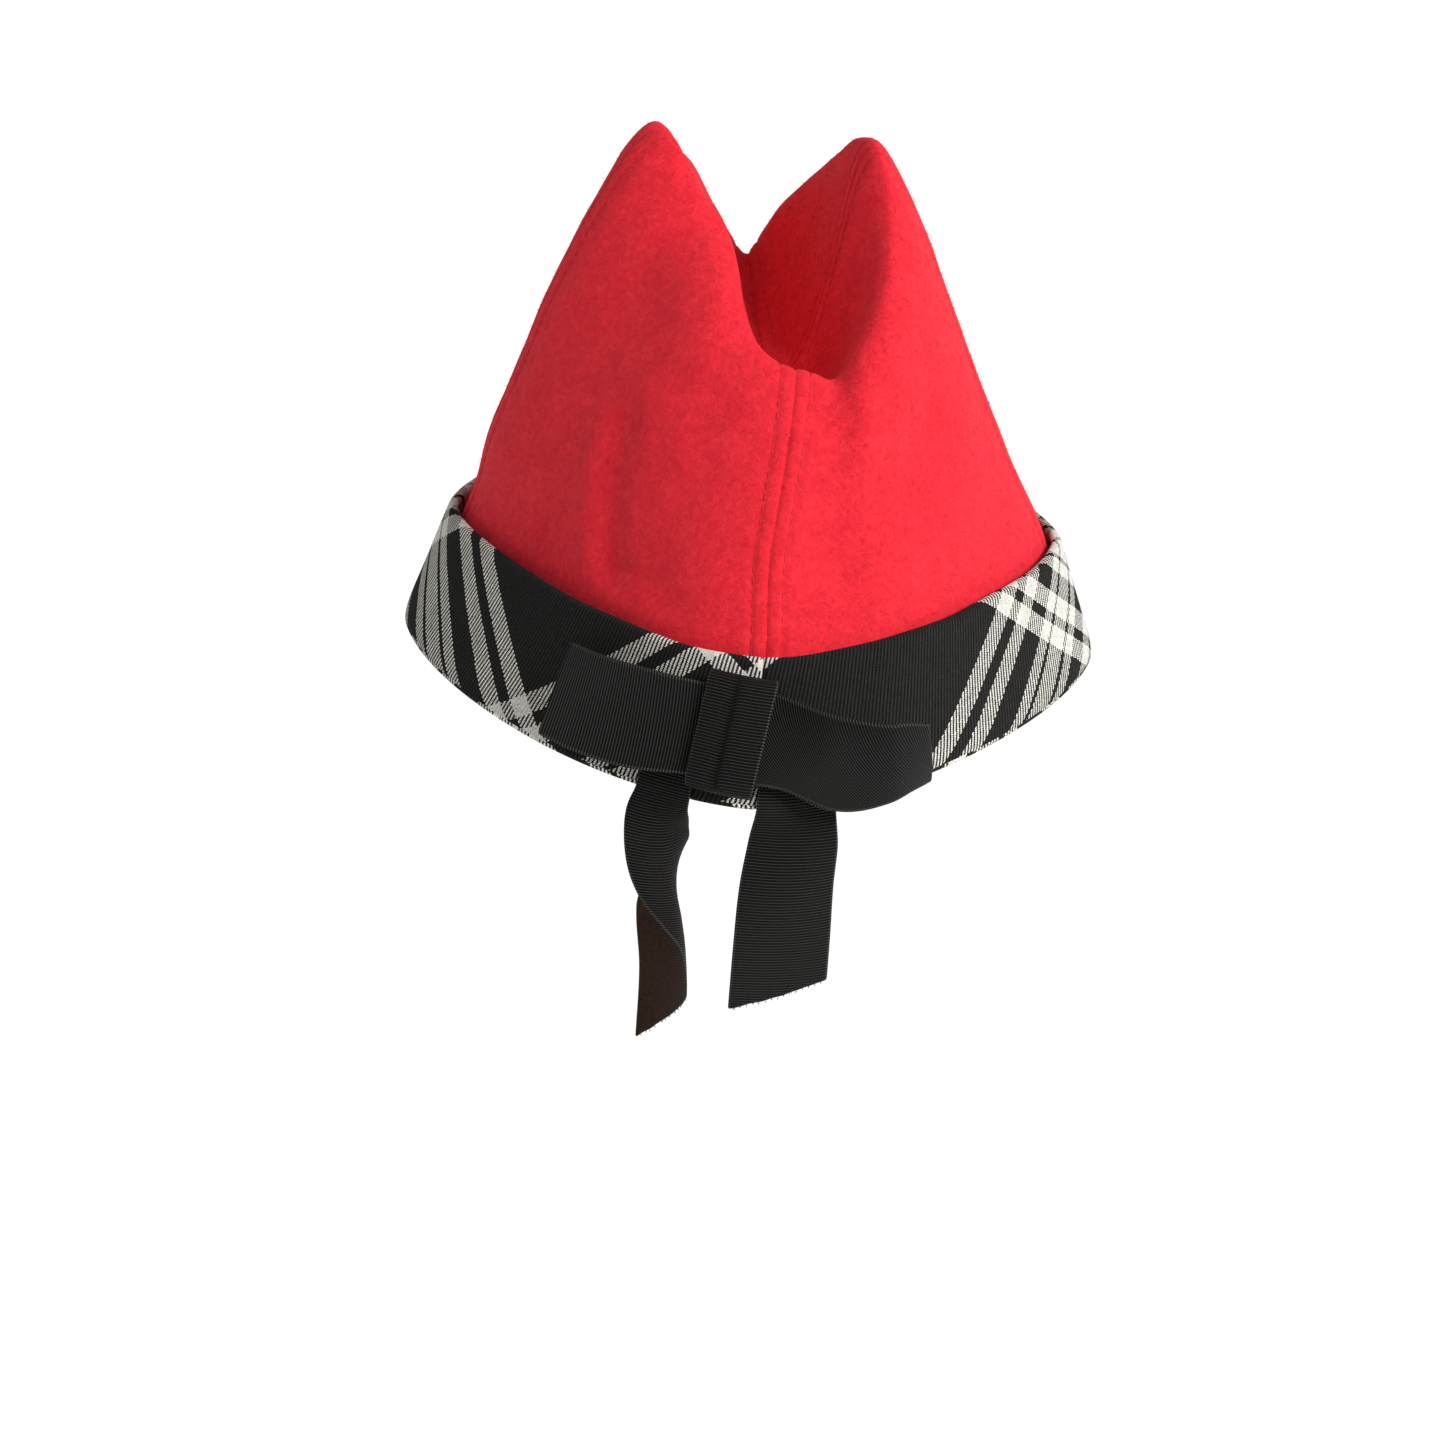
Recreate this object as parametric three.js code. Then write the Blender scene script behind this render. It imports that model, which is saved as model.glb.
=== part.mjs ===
// A wool hat with a two-peaked crown sewn from four panels, a turned-up tartan cuff and a flat
// grosgrain bow with two tails over the cuff's centre seam. Millimetres, +Z up. The origin is the
// middle of the head opening, on the plane of the cuff's lower edge. The bow side faces -Y.
// Azimuth turns anticlockwise from +X, seen from above, so the bow is near -90 degrees.
import * as THREE from 'three';
import { LoftGeometry } from 'three/addons/geometries/LoftGeometry.js';

// Head opening, inside the crown's lower edge
const headWidth = 176;
const headDepth = 191;
const headPointing = 0.109;
const pointRounding = 0.15;

// Crown
const woolThickness = 2;
const peakHeight = 141;
const saddleHeight = 95;
const pitSide = 1.5;
const pitDepth = - 23;
const pitHeight = 81.5;
const peakReach = 28;
const saddleReach = 36;
const sideBulge = 1.5;
const endBulge = 4;
const panelFlattening = 5;
const sideSettle = -2;
const settleRise = 22;
const topShift = -4.3;
const topSkew = 0.31;
const topSkewRounding = 15;
const seamGap = 0.3;
const seamMeetRadius = 1.6;

// Cuff
const cuffHeight = 34.5;
const cuffThickness = 3;
const cuffLipThickness = 2.4;
const cuffLowerGap = 0.5;
const cuffUpperGap = 1.6;
const fitGap = 0.3;

// Ribbon, bow and tails
const ribbonWidth = 25;
const ribbonThickness = 1;
const bowAzimuth = -91.2;
const bowHeight = 17;
const leftLoopReach = 47;
const rightLoopReach = 43;
const loopStart = 0.6;
const knotWidth = 15.5;
const knotSide = -1;
const knotTilt = 4;
const knotMargin = 0.8;
const pleatRaise = 0.8;
const leftTailLength = 94;
const rightTailLength = 71;
const tailBlend = 12;
const leftTailCut = 26;
const rightTailCut = 5.5;

// The crown's crest, anticlockwise from the right peak. Reach is a share of the crest's oval, and
// rise goes from 0 at the saddle's height to 1 at the peak's. Roll and shoulder are how far the
// wool stays level outside and inside the crest. Floor is how far the pit's floor spreads, as a
// share of the way to the crest, and sink is its height there.
const crestRows = [
	{ azimuth: 0, reach: 1.04, rise: 0.98, roll: 9, shoulder: 8.6, floor: 0.68, sink: 85 },
	{ azimuth: 12, reach: 1.02, rise: 0.975, roll: 10, shoulder: 8.6, floor: 0.74, sink: 86 },
	{ azimuth: 27, reach: 0.97, rise: 0.91, roll: 10, shoulder: 8.2, floor: 0.8, sink: 87 },
	{ azimuth: 45, reach: 0.95, rise: 0.75, roll: 10, shoulder: 7.6, floor: 0.88, sink: 88 },
	{ azimuth: 62, reach: 0.97, rise: 0.56, roll: 10, shoulder: 7, floor: 0.9, sink: 88 },
	{ azimuth: 77, reach: 1.01, rise: 0.34, roll: 10, shoulder: 6, floor: 0.92, sink: 88 },
	{ azimuth: 84, reach: 1.01, rise: 0.17, roll: 10, shoulder: 5, floor: 0.92, sink: 88 },
	{ azimuth: 91, reach: 1.02, rise: 0.02, roll: 10, shoulder: 4.5, floor: 0.92, sink: 88 },
	{ azimuth: 98, reach: 1.01, rise: 0.14, roll: 10, shoulder: 5, floor: 0.9, sink: 88 },
	{ azimuth: 105, reach: 1, rise: 0.3, roll: 10, shoulder: 6, floor: 0.85, sink: 87 },
	{ azimuth: 120, reach: 0.95, rise: 0.6, roll: 10, shoulder: 7.6, floor: 0.76, sink: 86 },
	{ azimuth: 138, reach: 0.95, rise: 0.79, roll: 10, shoulder: 8.4, floor: 0.66, sink: 85 },
	{ azimuth: 155, reach: 0.96, rise: 0.93, roll: 11, shoulder: 9.5, floor: 0.6, sink: 85 },
	{ azimuth: 168, reach: 0.95, rise: 1, roll: 12.5, shoulder: 10.5, floor: 0.6, sink: 85 },
	{ azimuth: 180, reach: 0.92, rise: 1.005, roll: 13.5, shoulder: 11, floor: 0.65, sink: 85 },
	{ azimuth: 188, reach: 0.85, rise: 0.945, roll: 14, shoulder: 10, floor: 0.7, sink: 85 },
	{ azimuth: 196, reach: 0.76, rise: 0.79, roll: 15.5, shoulder: 8.4, floor: 0.78, sink: 85 },
	{ azimuth: 208, reach: 0.59, rise: 0.65, roll: 19.5, shoulder: 7.8, floor: 0.84, sink: 84 },
	{ azimuth: 220, reach: 0.5, rise: 0.57, roll: 23, shoulder: 7.6, floor: 0.86, sink: 84 },
	{ azimuth: 236, reach: 0.53, rise: 0.475, roll: 23.5, shoulder: 7.2, floor: 0.86, sink: 84 },
	{ azimuth: 246, reach: 0.64, rise: 0.37, roll: 21, shoulder: 6.8, floor: 0.88, sink: 83 },
	{ azimuth: 253, reach: 0.82, rise: 0.2, roll: 15.5, shoulder: 6, floor: 0.9, sink: 83 },
	{ azimuth: 259, reach: 1, rise: 0.05, roll: 11, shoulder: 5, floor: 0.9, sink: 82 },
	{ azimuth: 268, reach: 1.06, rise: -0.03, roll: 9, shoulder: 4.6, floor: 0.92, sink: 82 },
	{ azimuth: 280, reach: 1.08, rise: -0.07, roll: 10, shoulder: 4.2, floor: 0.92, sink: 81 },
	{ azimuth: 288, reach: 1.15, rise: -0.1, roll: 10, shoulder: 4, floor: 0.92, sink: 81 },
	{ azimuth: 295, reach: 1.18, rise: 0.03, roll: 10, shoulder: 5, floor: 0.88, sink: 81 },
	{ azimuth: 304, reach: 1.18, rise: 0.17, roll: 10, shoulder: 6, floor: 0.8, sink: 82 },
	{ azimuth: 315, reach: 1.17, rise: 0.35, roll: 10, shoulder: 6.8, floor: 0.74, sink: 82 },
	{ azimuth: 335, reach: 1.12, rise: 0.68, roll: 10, shoulder: 8, floor: 0.68, sink: 84 },
	{ azimuth: 348, reach: 1.06, rise: 0.91, roll: 9.5, shoulder: 8.5, floor: 0.66, sink: 85 }
];

// Soft dents and swells of the outer wall. Height is a share of the wall above the cuff, width is
// in degrees, tall is a share of that wall, and depth is in millimetres, negative inwards.
const dentRows = [
	{ azimuth: 246, height: 0.1, width: 11, tall: 0.45, depth: -1.4 },
	{ azimuth: 304, height: 0.62, width: 12, tall: 0.22, depth: -1.8 },
	{ azimuth: 318, height: 0.42, width: 12, tall: 0.3, depth: -1.6 },
	{ azimuth: 285, height: 0.2, width: 14, tall: 0.35, depth: -1.0 },
	{ azimuth: 60, height: 0.3, width: 14, tall: 0.4, depth: -1.8 },
	{ azimuth: 128, height: 0.25, width: 12, tall: 0.4, depth: -1.6 }
];

// Azimuths of the four crown seams at the lower edge
const seamAzimuths = { right: 0, back: 90, left: 180, bow: 273 };

// Each bow loop from the knot out to its fold. Along is a share of the reach, puff is the space
// between its two layers, width is a share of the ribbon's, rise and standoff move it up and off
// the cuff, lean tips its upper edge outwards in degrees, and slant carries that edge away from
// the knot.
const leftLoopRows = [
	{ along: 0, width: 0.93, puff: 0.4, rise: 0, standoff: 0, lean: 0, slant: 0 },
	{ along: 0.24, width: 0.94, puff: 0.4, rise: 0, standoff: 0, lean: 0, slant: 0 },
	{ along: 0.5, width: 1, puff: 2.4, rise: 0, standoff: 0.5, lean: -1, slant: 1.5 },
	{ along: 0.8, width: 1, puff: 1.8, rise: -0.6, standoff: 0.8, lean: -1, slant: 3 },
	{ along: 1, width: 1, puff: 0.8, rise: -1, standoff: 0.9, lean: -1, slant: 4 }
];
const rightLoopRows = [
	{ along: 0, width: 0.93, puff: 0.4, rise: 0, standoff: 0, lean: 0, slant: 0 },
	{ along: 0.22, width: 0.94, puff: 0.4, rise: -1.2, standoff: 0.2, lean: 0, slant: 0 },
	{ along: 0.42, width: 1, puff: 2.6, rise: -7.2, standoff: 4.8, lean: 16, slant: -0.5 },
	{ along: 0.7, width: 1, puff: 3, rise: -9.8, standoff: 8.8, lean: 36, slant: -3.5 },
	{ along: 1, width: 1, puff: 0.9, rise: -10, standoff: 11.2, lean: 55, slant: -8 }
];

// Each tail from its upper end down. Along is a share of the length, side is the shift from the
// bow's middle, out is the distance off the cuff's lower edge, turn twists it about the vertical
// in degrees, cup curls it lengthwise in degrees, and gather is its share of the ribbon's width.
const leftTailRows = [
	{ along: 0, side: -16, out: 0, turn: 0, cup: 0, gather: 0.55 },
	{ along: 0.17, side: -18, out: 0.2, turn: 0, cup: 0, gather: 0.6 },
	{ along: 0.22, side: -19.2, out: 1.1, turn: 3, cup: 12, gather: 0.64 },
	{ along: 0.28, side: -18.9, out: 1.6, turn: 20, cup: 42, gather: 0.7 },
	{ along: 0.35, side: -16.4, out: 1.5, turn: 40, cup: 90, gather: 0.85 },
	{ along: 0.43, side: -13.8, out: 0, turn: 64, cup: 140, gather: 0.98 },
	{ along: 0.51, side: -12.6, out: -2, turn: 93, cup: 178, gather: 1 },
	{ along: 0.59, side: -12.9, out: -4, turn: 112, cup: 120, gather: 1 },
	{ along: 0.76, side: -13.7, out: -3, turn: 117, cup: 60, gather: 1 },
	{ along: 1, side: -14.7, out: -3, turn: 118, cup: 45, gather: 1 }
];
const rightTailRows = [
	{ along: 0, side: 14.5, out: 0, turn: 0, cup: 0, gather: 0.76 },
	{ along: 0.2, side: 16, out: 0, turn: 0, cup: 0, gather: 0.8 },
	{ along: 0.35, side: 15.8, out: 0.8, turn: 4, cup: 16, gather: 0.9 },
	{ along: 0.51, side: 15, out: 3.4, turn: 10, cup: 30, gather: 0.97 },
	{ along: 0.73, side: 14.6, out: 4.4, turn: 12, cup: 18, gather: 1 },
	{ along: 1, side: 14.2, out: 4.2, turn: 10, cup: 10, gather: 1 }
];

// The knot's two pleats across its width, as shares of the half width
const pleatRows = [
	{ across: -1, raise: 0 },
	{ across: -0.5, raise: 0.12 },
	{ across: -0.06, raise: 0 },
	{ across: 0.02, raise: 1 },
	{ across: 0.5, raise: 1.1 },
	{ across: 1, raise: 0.9 }
];

// Facets
const panelColumns = 12;
const wallSteps = 16;
const pitSteps = 11;
const cuffColumns = 16;
const cuffSteps = 6;
const loopSteps = 14;
const foldSteps = 5;
const tailSteps = 22;
const tailColumns = 6;
const loopColumns = 4;

const degrees = Math.PI / 180;
const crownBase = cuffLipThickness + fitGap;

const lerp = THREE.MathUtils.lerp;
const clamp = THREE.MathUtils.clamp;
const smooth = ( x ) => THREE.MathUtils.smoothstep( x, 0, 1 );

// A smooth curve through one column of a table. A closed table comes round again after one turn.
function readTable( rows, key, at, value, turn = 0 ) {

	const count = rows.length;
	const place = ( i ) => turn
		? rows[ ( i + count ) % count ][ key ] + turn * Math.floor( i / count )
		: rows[ clamp( i, 0, count - 1 ) ][ key ];
	const level = ( i ) => rows[ turn ? ( i + count ) % count : clamp( i, 0, count - 1 ) ][ value ];
	const x = turn ? THREE.MathUtils.euclideanModulo( at, turn ) : clamp( at, place( 0 ), place( count - 1 ) );
	let i = 0;
	while ( i < ( turn ? count - 1 : count - 2 ) && x > place( i + 1 ) ) i ++;
	const slope = ( j ) => ( level( j + 1 ) - level( j - 1 ) ) / ( place( j + 1 ) - place( j - 1 ) );
	const span = place( i + 1 ) - place( i );
	const s = ( x - place( i ) ) / span;
	const from = level( i );
	const to = level( i + 1 );
	return from * ( 1 + 2 * s ) * ( 1 - s ) ** 2 + to * s * s * ( 3 - 2 * s )
		+ span * ( slope( i ) * s * ( 1 - s ) ** 2 - slope( i + 1 ) * s * s * ( 1 - s ) );

}

function ovalRadius( halfWidth, halfDepth, azimuth ) {

	return 1 / Math.hypot( Math.cos( azimuth * degrees ) / halfWidth, Math.sin( azimuth * degrees ) / halfDepth );

}

// How far a direction is from the crown's seams: 0 on a seam and 1 in the middle of a panel
function panelShare( azimuth ) {

	const round = [ seamAzimuths.right, seamAzimuths.back, seamAzimuths.left, seamAzimuths.bow, seamAzimuths.right + 360 ];
	const at = THREE.MathUtils.euclideanModulo( azimuth, 360 );
	const panel = round.findIndex( ( seam, i ) => at < round[ i + 1 ] );
	const share = ( at - round[ panel ] ) / ( round[ panel + 1 ] - round[ panel ] );
	const soft = Math.hypot( Math.sin( Math.PI * share ), pointRounding ) - pointRounding;
	return soft / ( Math.hypot( 1, pointRounding ) - pointRounding );

}

// The head opening's oval, drawn in between the seams so that they are a little pointed
function headRadius( extra, azimuth ) {

	const pointed = 1 - headPointing * panelShare( azimuth );
	return ovalRadius( headWidth / 2, headDepth / 2, azimuth ) * pointed + extra;

}

const readCrest = ( azimuth, value ) => readTable( crestRows, 'azimuth', azimuth, value, 360 );

// The crest over one azimuth, as (distance from the axis, height)
function crestAt( azimuth ) {

	const reach = ovalRadius( peakReach, saddleReach, azimuth ) * readCrest( azimuth, 'reach' );
	return new THREE.Vector2( reach, lerp( saddleHeight, peakHeight, readCrest( azimuth, 'rise' ) ) );

}

// The crown's outer wall is a cubic arc in the upright plane of each azimuth
function wallArc( azimuth ) {

	const base = new THREE.Vector2( headRadius( woolThickness, azimuth ), crownBase );
	const crest = crestAt( azimuth );
	const lower = base.clone().lerp( crest, 1 / 3 );
	lower.x += lerp( sideBulge, endBulge, Math.sin( azimuth * degrees ) ** 2 ) - panelFlattening * panelShare( azimuth );
	const rolled = new THREE.Vector2( crest.x + readCrest( azimuth, 'roll' ), crest.y );
	return new THREE.CubicBezierCurve( base, lower, rolled, crest );

}

// How far the dents move the wall at an azimuth and height, none of it under the cuff
function dentDepth( azimuth, height, crestHeight ) {

	const up = ( height - cuffHeight ) / ( crestHeight - cuffHeight );
	if ( up <= 0 ) return 0;
	let depth = 0;
	for ( const dent of dentRows ) {

		const turn = THREE.MathUtils.euclideanModulo( azimuth - dent.azimuth + 180, 360 ) - 180;
		depth += dent.depth * Math.exp( - ( ( turn / dent.width ) ** 2 ) - ( ( up - dent.height ) / dent.tall ) ** 2 );

	}

	return depth * smooth( up / 0.12 ) * smooth( ( 1 - up ) / 0.3 );

}

// Places a distance and height in the azimuth's plane, with the soft top shifted and skewed
function placeInCrown( azimuth, reach, height ) {

	const point = new THREE.Vector3( Math.cos( azimuth * degrees ) * reach, Math.sin( azimuth * degrees ) * reach, height );
	const share = clamp( ( height - cuffHeight ) / ( saddleHeight - cuffHeight ), 0, 1 );
	const top = ( share + smooth( share ) ) / 2;
	const depth = Math.sin( azimuth * degrees ) * Math.min( reach, crestAt( azimuth ).x );
	point.x += sideSettle * smooth( ( height - cuffHeight ) / settleRise );
	point.x += top * ( topShift + topSkew * ( Math.hypot( depth, topSkewRounding ) - depth ) / 2 );
	return point;

}

// The pit is an arc from each place on the crest, over its inner shoulder, down to the floor and
// along to the meeting of the seams
function pitArc( azimuth ) {

	const { x: reach, y: height } = crestAt( azimuth );
	const crest = placeInCrown( azimuth, reach, height );
	const inward = placeInCrown( azimuth, reach - readCrest( azimuth, 'shoulder' ), height );
	const meeting = new THREE.Vector3(
		pitSide + Math.cos( azimuth * degrees ) * seamMeetRadius,
		pitDepth + Math.sin( azimuth * degrees ) * seamMeetRadius,
		pitHeight
	);
	const floor = meeting.clone().lerp( crest, readCrest( azimuth, 'floor' ) );
	floor.z = readCrest( azimuth, 'sink' );
	return new THREE.CubicBezierCurve3( crest, inward, floor, meeting );

}

// The crown's outer surface. Travel goes from 0 at the lower edge to 1 at the crest and 2 at the pit.
function crownSurface( azimuth, travel ) {

	if ( travel > 1 ) return pitArc( azimuth ).getPoint( travel - 1 );
	const arc = wallArc( azimuth );
	const point = arc.getPoint( travel );
	return placeInCrown( azimuth, point.x + dentDepth( azimuth, point.y, arc.v3.y ), point.y );

}

function crownNormal( azimuth, travel ) {

	const turn = 0.5;
	const step = 0.01;
	const around = crownSurface( azimuth + turn, travel ).sub( crownSurface( azimuth - turn, travel ) );
	const along = crownSurface( azimuth, Math.min( travel + step, 2 ) ).sub( crownSurface( azimuth, Math.max( travel - step, 0 ) ) );
	const normal = around.cross( along );
	normal.z *= smooth( travel / 0.1 );
	return normal.normalize();

}

// One crown panel between two seams, as a loft of sheet sections from the lower edge to the pit
function crownPanel( fromAzimuth, toAzimuth ) {

	const sections = [];
	for ( let row = 0; row <= wallSteps + pitSteps; row ++ ) {

		const travel = row < wallSteps ? row / wallSteps : 1 + ( row - wallSteps ) / pitSteps;
		const outer = [];
		const inner = [];
		for ( let column = 0; column <= panelColumns; column ++ ) {

			const share = column / panelColumns;
			const onSeam = lerp( fromAzimuth, toAzimuth, share );
			const middle = crownSurface( onSeam, travel );
			const reach = Math.hypot( middle.x - pitSide * travel / 2, middle.y - pitDepth * travel / 2 );
			const inset = seamGap / 2 / Math.max( reach, seamMeetRadius ) / degrees;
			const azimuth = lerp( fromAzimuth + inset, toAzimuth - inset, share );
			const point = crownSurface( azimuth, travel );
			outer.push( point );
			inner.push( point.clone().addScaledVector( crownNormal( azimuth, travel ), - woolThickness ) );

		}

		sections.push( [ ...outer, ...inner.reverse() ] );

	}

	return new LoftGeometry( sections, { capStart: true, capEnd: true } );

}

// Distance from the axis to the crown's undented wall at a height, which carries the cuff
function wallReach( azimuth, height ) {

	const arc = wallArc( azimuth );
	let low = 0;
	let high = 1;
	for ( let i = 0; i < 30; i ++ ) {

		const middle = ( low + high ) / 2;
		if ( arc.getPoint( middle ).y < height ) low = middle;
		else high = middle;

	}

	return arc.getPoint( low ).x;

}

function cuffInnerReach( azimuth, height ) {

	const up = clamp( ( height - crownBase ) / ( cuffHeight - crownBase ), 0, 1 );
	return wallReach( azimuth, Math.max( height, crownBase ) ) + lerp( cuffLowerGap, cuffUpperGap, up );

}

function cuffOuterPoint( azimuth, height ) {

	const reach = cuffInnerReach( azimuth, height ) + cuffThickness;
	return new THREE.Vector3( Math.cos( azimuth * degrees ) * reach, Math.sin( azimuth * degrees ) * reach, height );

}

// The cuff's section at one azimuth: up the outside, over the rolled top, down the inside, and
// round the lip that carries the crown's lower edge
function cuffSection( azimuth ) {

	const radius = cuffThickness / 2;
	const rollCentre = cuffHeight - radius;
	const foldCentre = cuffLipThickness / 2;
	const points = [];
	const add = ( reach, height ) => points.push( new THREE.Vector3(
		Math.cos( azimuth * degrees ) * reach, Math.sin( azimuth * degrees ) * reach, height ) );
	for ( let i = 0; i <= cuffSteps; i ++ ) {

		const height = lerp( foldCentre, rollCentre, i / cuffSteps );
		add( cuffInnerReach( azimuth, height ) + cuffThickness, height );

	}

	const rollReach = cuffInnerReach( azimuth, rollCentre ) + radius;
	for ( const angle of [ 45, 90, 135 ] ) {

		add( rollReach + radius * Math.cos( angle * degrees ), rollCentre + radius * Math.sin( angle * degrees ) );

	}

	for ( let i = cuffSteps; i >= 0; i -- ) {

		const height = lerp( cuffLipThickness, rollCentre, i / cuffSteps );
		add( cuffInnerReach( azimuth, height ), height );

	}

	const foldReach = cuffInnerReach( azimuth, 0 ) + cuffThickness;
	const lipReach = headRadius( 0, azimuth );
	add( lipReach, cuffLipThickness );
	add( lipReach, foldCentre / 2 );
	add( lipReach + foldCentre / 2, 0 );
	add( foldReach - foldCentre * 1.4, 0 );
	add( foldReach - foldCentre * 0.3, foldCentre * 0.35 );
	return points;

}

function cuffRing() {

	const sections = [];
	const corners = [ seamAzimuths.right, seamAzimuths.back, seamAzimuths.left, seamAzimuths.bow ];
	corners.forEach( ( corner, i ) => {

		const next = corners[ i + 1 ] ?? corners[ 0 ] + 360;
		for ( let column = 0; column < cuffColumns; column ++ ) {

			sections.push( cuffSection( lerp( corner, next, column / cuffColumns ) ).reverse() );

		}

	} );
	sections.push( sections[ 0 ] );
	return new LoftGeometry( sections );

}

// A frame on the cuff's outer surface, at a distance round from the bow's middle
function cuffFrame( side, height ) {

	const reach = cuffInnerReach( bowAzimuth, height ) + cuffThickness;
	const azimuth = bowAzimuth + side / reach / degrees;
	const origin = cuffOuterPoint( azimuth, height );
	const along = cuffOuterPoint( azimuth + 0.5, height ).sub( cuffOuterPoint( azimuth - 0.5, height ) ).normalize();
	const up = cuffOuterPoint( azimuth, height + 1 ).sub( cuffOuterPoint( azimuth, height - 1 ) ).normalize();
	const out = along.clone().cross( up ).normalize();
	return { origin, along, up: out.clone().cross( along ), out };

}

// A ribbon as a loft of flat or curved sections. Each strand gives a point for each place across.
function ribbonSolid( strands ) {

	const rows = strands[ 0 ].length;
	const sections = [];
	for ( let row = 0; row < rows; row ++ ) {

		const face = [];
		const reverse = [];
		for ( let k = 0; k < strands.length; k ++ ) {

			const before = strands[ k ][ Math.max( row - 1, 0 ) ];
			const after = strands[ k ][ Math.min( row + 1, rows - 1 ) ];
			const left = strands[ Math.max( k - 1, 0 ) ][ row ];
			const right = strands[ Math.min( k + 1, strands.length - 1 ) ][ row ];
			const normal = right.clone().sub( left ).cross( after.clone().sub( before ) ).normalize();
			face.push( strands[ k ][ row ].clone().addScaledVector( normal, ribbonThickness / 2 ) );
			reverse.push( strands[ k ][ row ].clone().addScaledVector( normal, - ribbonThickness / 2 ) );

		}

		sections.push( [ ...face, ...reverse.reverse() ] );

	}

	return new LoftGeometry( sections, { capStart: true, capEnd: true } );

}

// Distances off the cuff of the bow's layers, each a ribbon and a small gap above the last
const tailLayer = fitGap + ribbonThickness / 2;
const loopBackLayer = tailLayer + ribbonThickness + 2 * fitGap;

// The path of one loop: out along its back layer, round the fold, and back along its front layer
function loopPath( rows, reach ) {

	const path = [];
	const start = loopStart / reach;
	const layer = ( along ) => ( {
		back: loopBackLayer + readTable( rows, 'along', along, 'standoff' ),
		gap: ribbonThickness + readTable( rows, 'along', along, 'puff' )
	} );
	for ( let i = 0; i <= loopSteps; i ++ ) {

		const along = lerp( start, 1, i / loopSteps );
		path.push( { along, off: layer( along ).back } );

	}

	const fold = layer( 1 );
	for ( let i = 1; i < foldSteps; i ++ ) {

		const angle = Math.PI * i / foldSteps;
		path.push( {
			along: 1 + Math.sin( angle ) * fold.gap / 2 / reach,
			off: fold.back + fold.gap / 2 - Math.cos( angle ) * fold.gap / 2
		} );

	}

	for ( let i = loopSteps; i >= 0; i -- ) {

		const along = lerp( start, 1, i / loopSteps );
		path.push( { along, off: layer( along ).back + layer( along ).gap } );

	}

	return path;

}

function bowLoop( rows, reach, direction ) {

	const path = loopPath( rows, reach );
	const strands = [];
	for ( let k = 0; k <= loopColumns; k ++ ) {

		strands.push( path.map( ( { along, off } ) => {

			const across = ( k / loopColumns - 0.5 ) * ribbonWidth * readTable( rows, 'along', along, 'width' );
			const slant = readTable( rows, 'along', along, 'slant' ) * ( across / ribbonWidth + 0.5 );
			const { origin, up, out } = cuffFrame( direction * ( along * reach + slant ), bowHeight );
			const lean = readTable( rows, 'along', along, 'lean' ) * degrees;
			return origin
				.addScaledVector( up, readTable( rows, 'along', along, 'rise' ) + across * Math.cos( lean ) )
				.addScaledVector( out, off + across * Math.sin( lean ) );

		} ) );

	}

	return ribbonSolid( direction > 0 ? strands : strands.reverse() );

}

// The knot is a pleated band that hooks over both edges of the loops
function bowKnot() {

	const backOff = loopBackLayer - ribbonThickness / 2 + fitGap;
	const inner = loopBackLayer + ribbonThickness + leftLoopRows[ 0 ].puff + ribbonThickness / 2;
	const frontOff = inner + fitGap + pleatRaise + ribbonThickness / 2;
	const halfHeight = ribbonWidth / 2 + fitGap + knotMargin + ribbonThickness / 2;
	const radius = frontOff - backOff;
	const path = [ { up: halfHeight + radius * 0.2, off: backOff } ];
	path.push( { up: halfHeight + radius * 0.1, off: lerp( backOff, frontOff, 0.6 ) } );
	for ( let i = 0; i <= 6; i ++ ) {

		path.push( { up: lerp( halfHeight - radius * 0.3, - halfHeight + radius * 0.3, i / 6 ), off: frontOff } );

	}

	path.push( { up: - halfHeight - radius * 0.1, off: lerp( backOff, frontOff, 0.6 ) } );
	path.push( { up: - halfHeight - radius * 0.2, off: backOff } );
	const middle = cuffFrame( knotSide, bowHeight );
	const strands = pleatRows.map( ( pleat ) => path.map( ( { up, off } ) => {

		const across = pleat.across * knotWidth / 2;
		const tilt = knotTilt * degrees;
		const frame = cuffFrame( knotSide + across * Math.cos( tilt ) + up * Math.sin( tilt ), bowHeight );
		const raise = off === frontOff ? ( pleat.raise - 1 ) * pleatRaise : 0;
		return frame.origin
			.addScaledVector( middle.up, up * Math.cos( tilt ) - across * Math.sin( tilt ) )
			.addScaledVector( frame.out, off + raise );

	} ) );
	return ribbonSolid( strands.reverse() );

}

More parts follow.
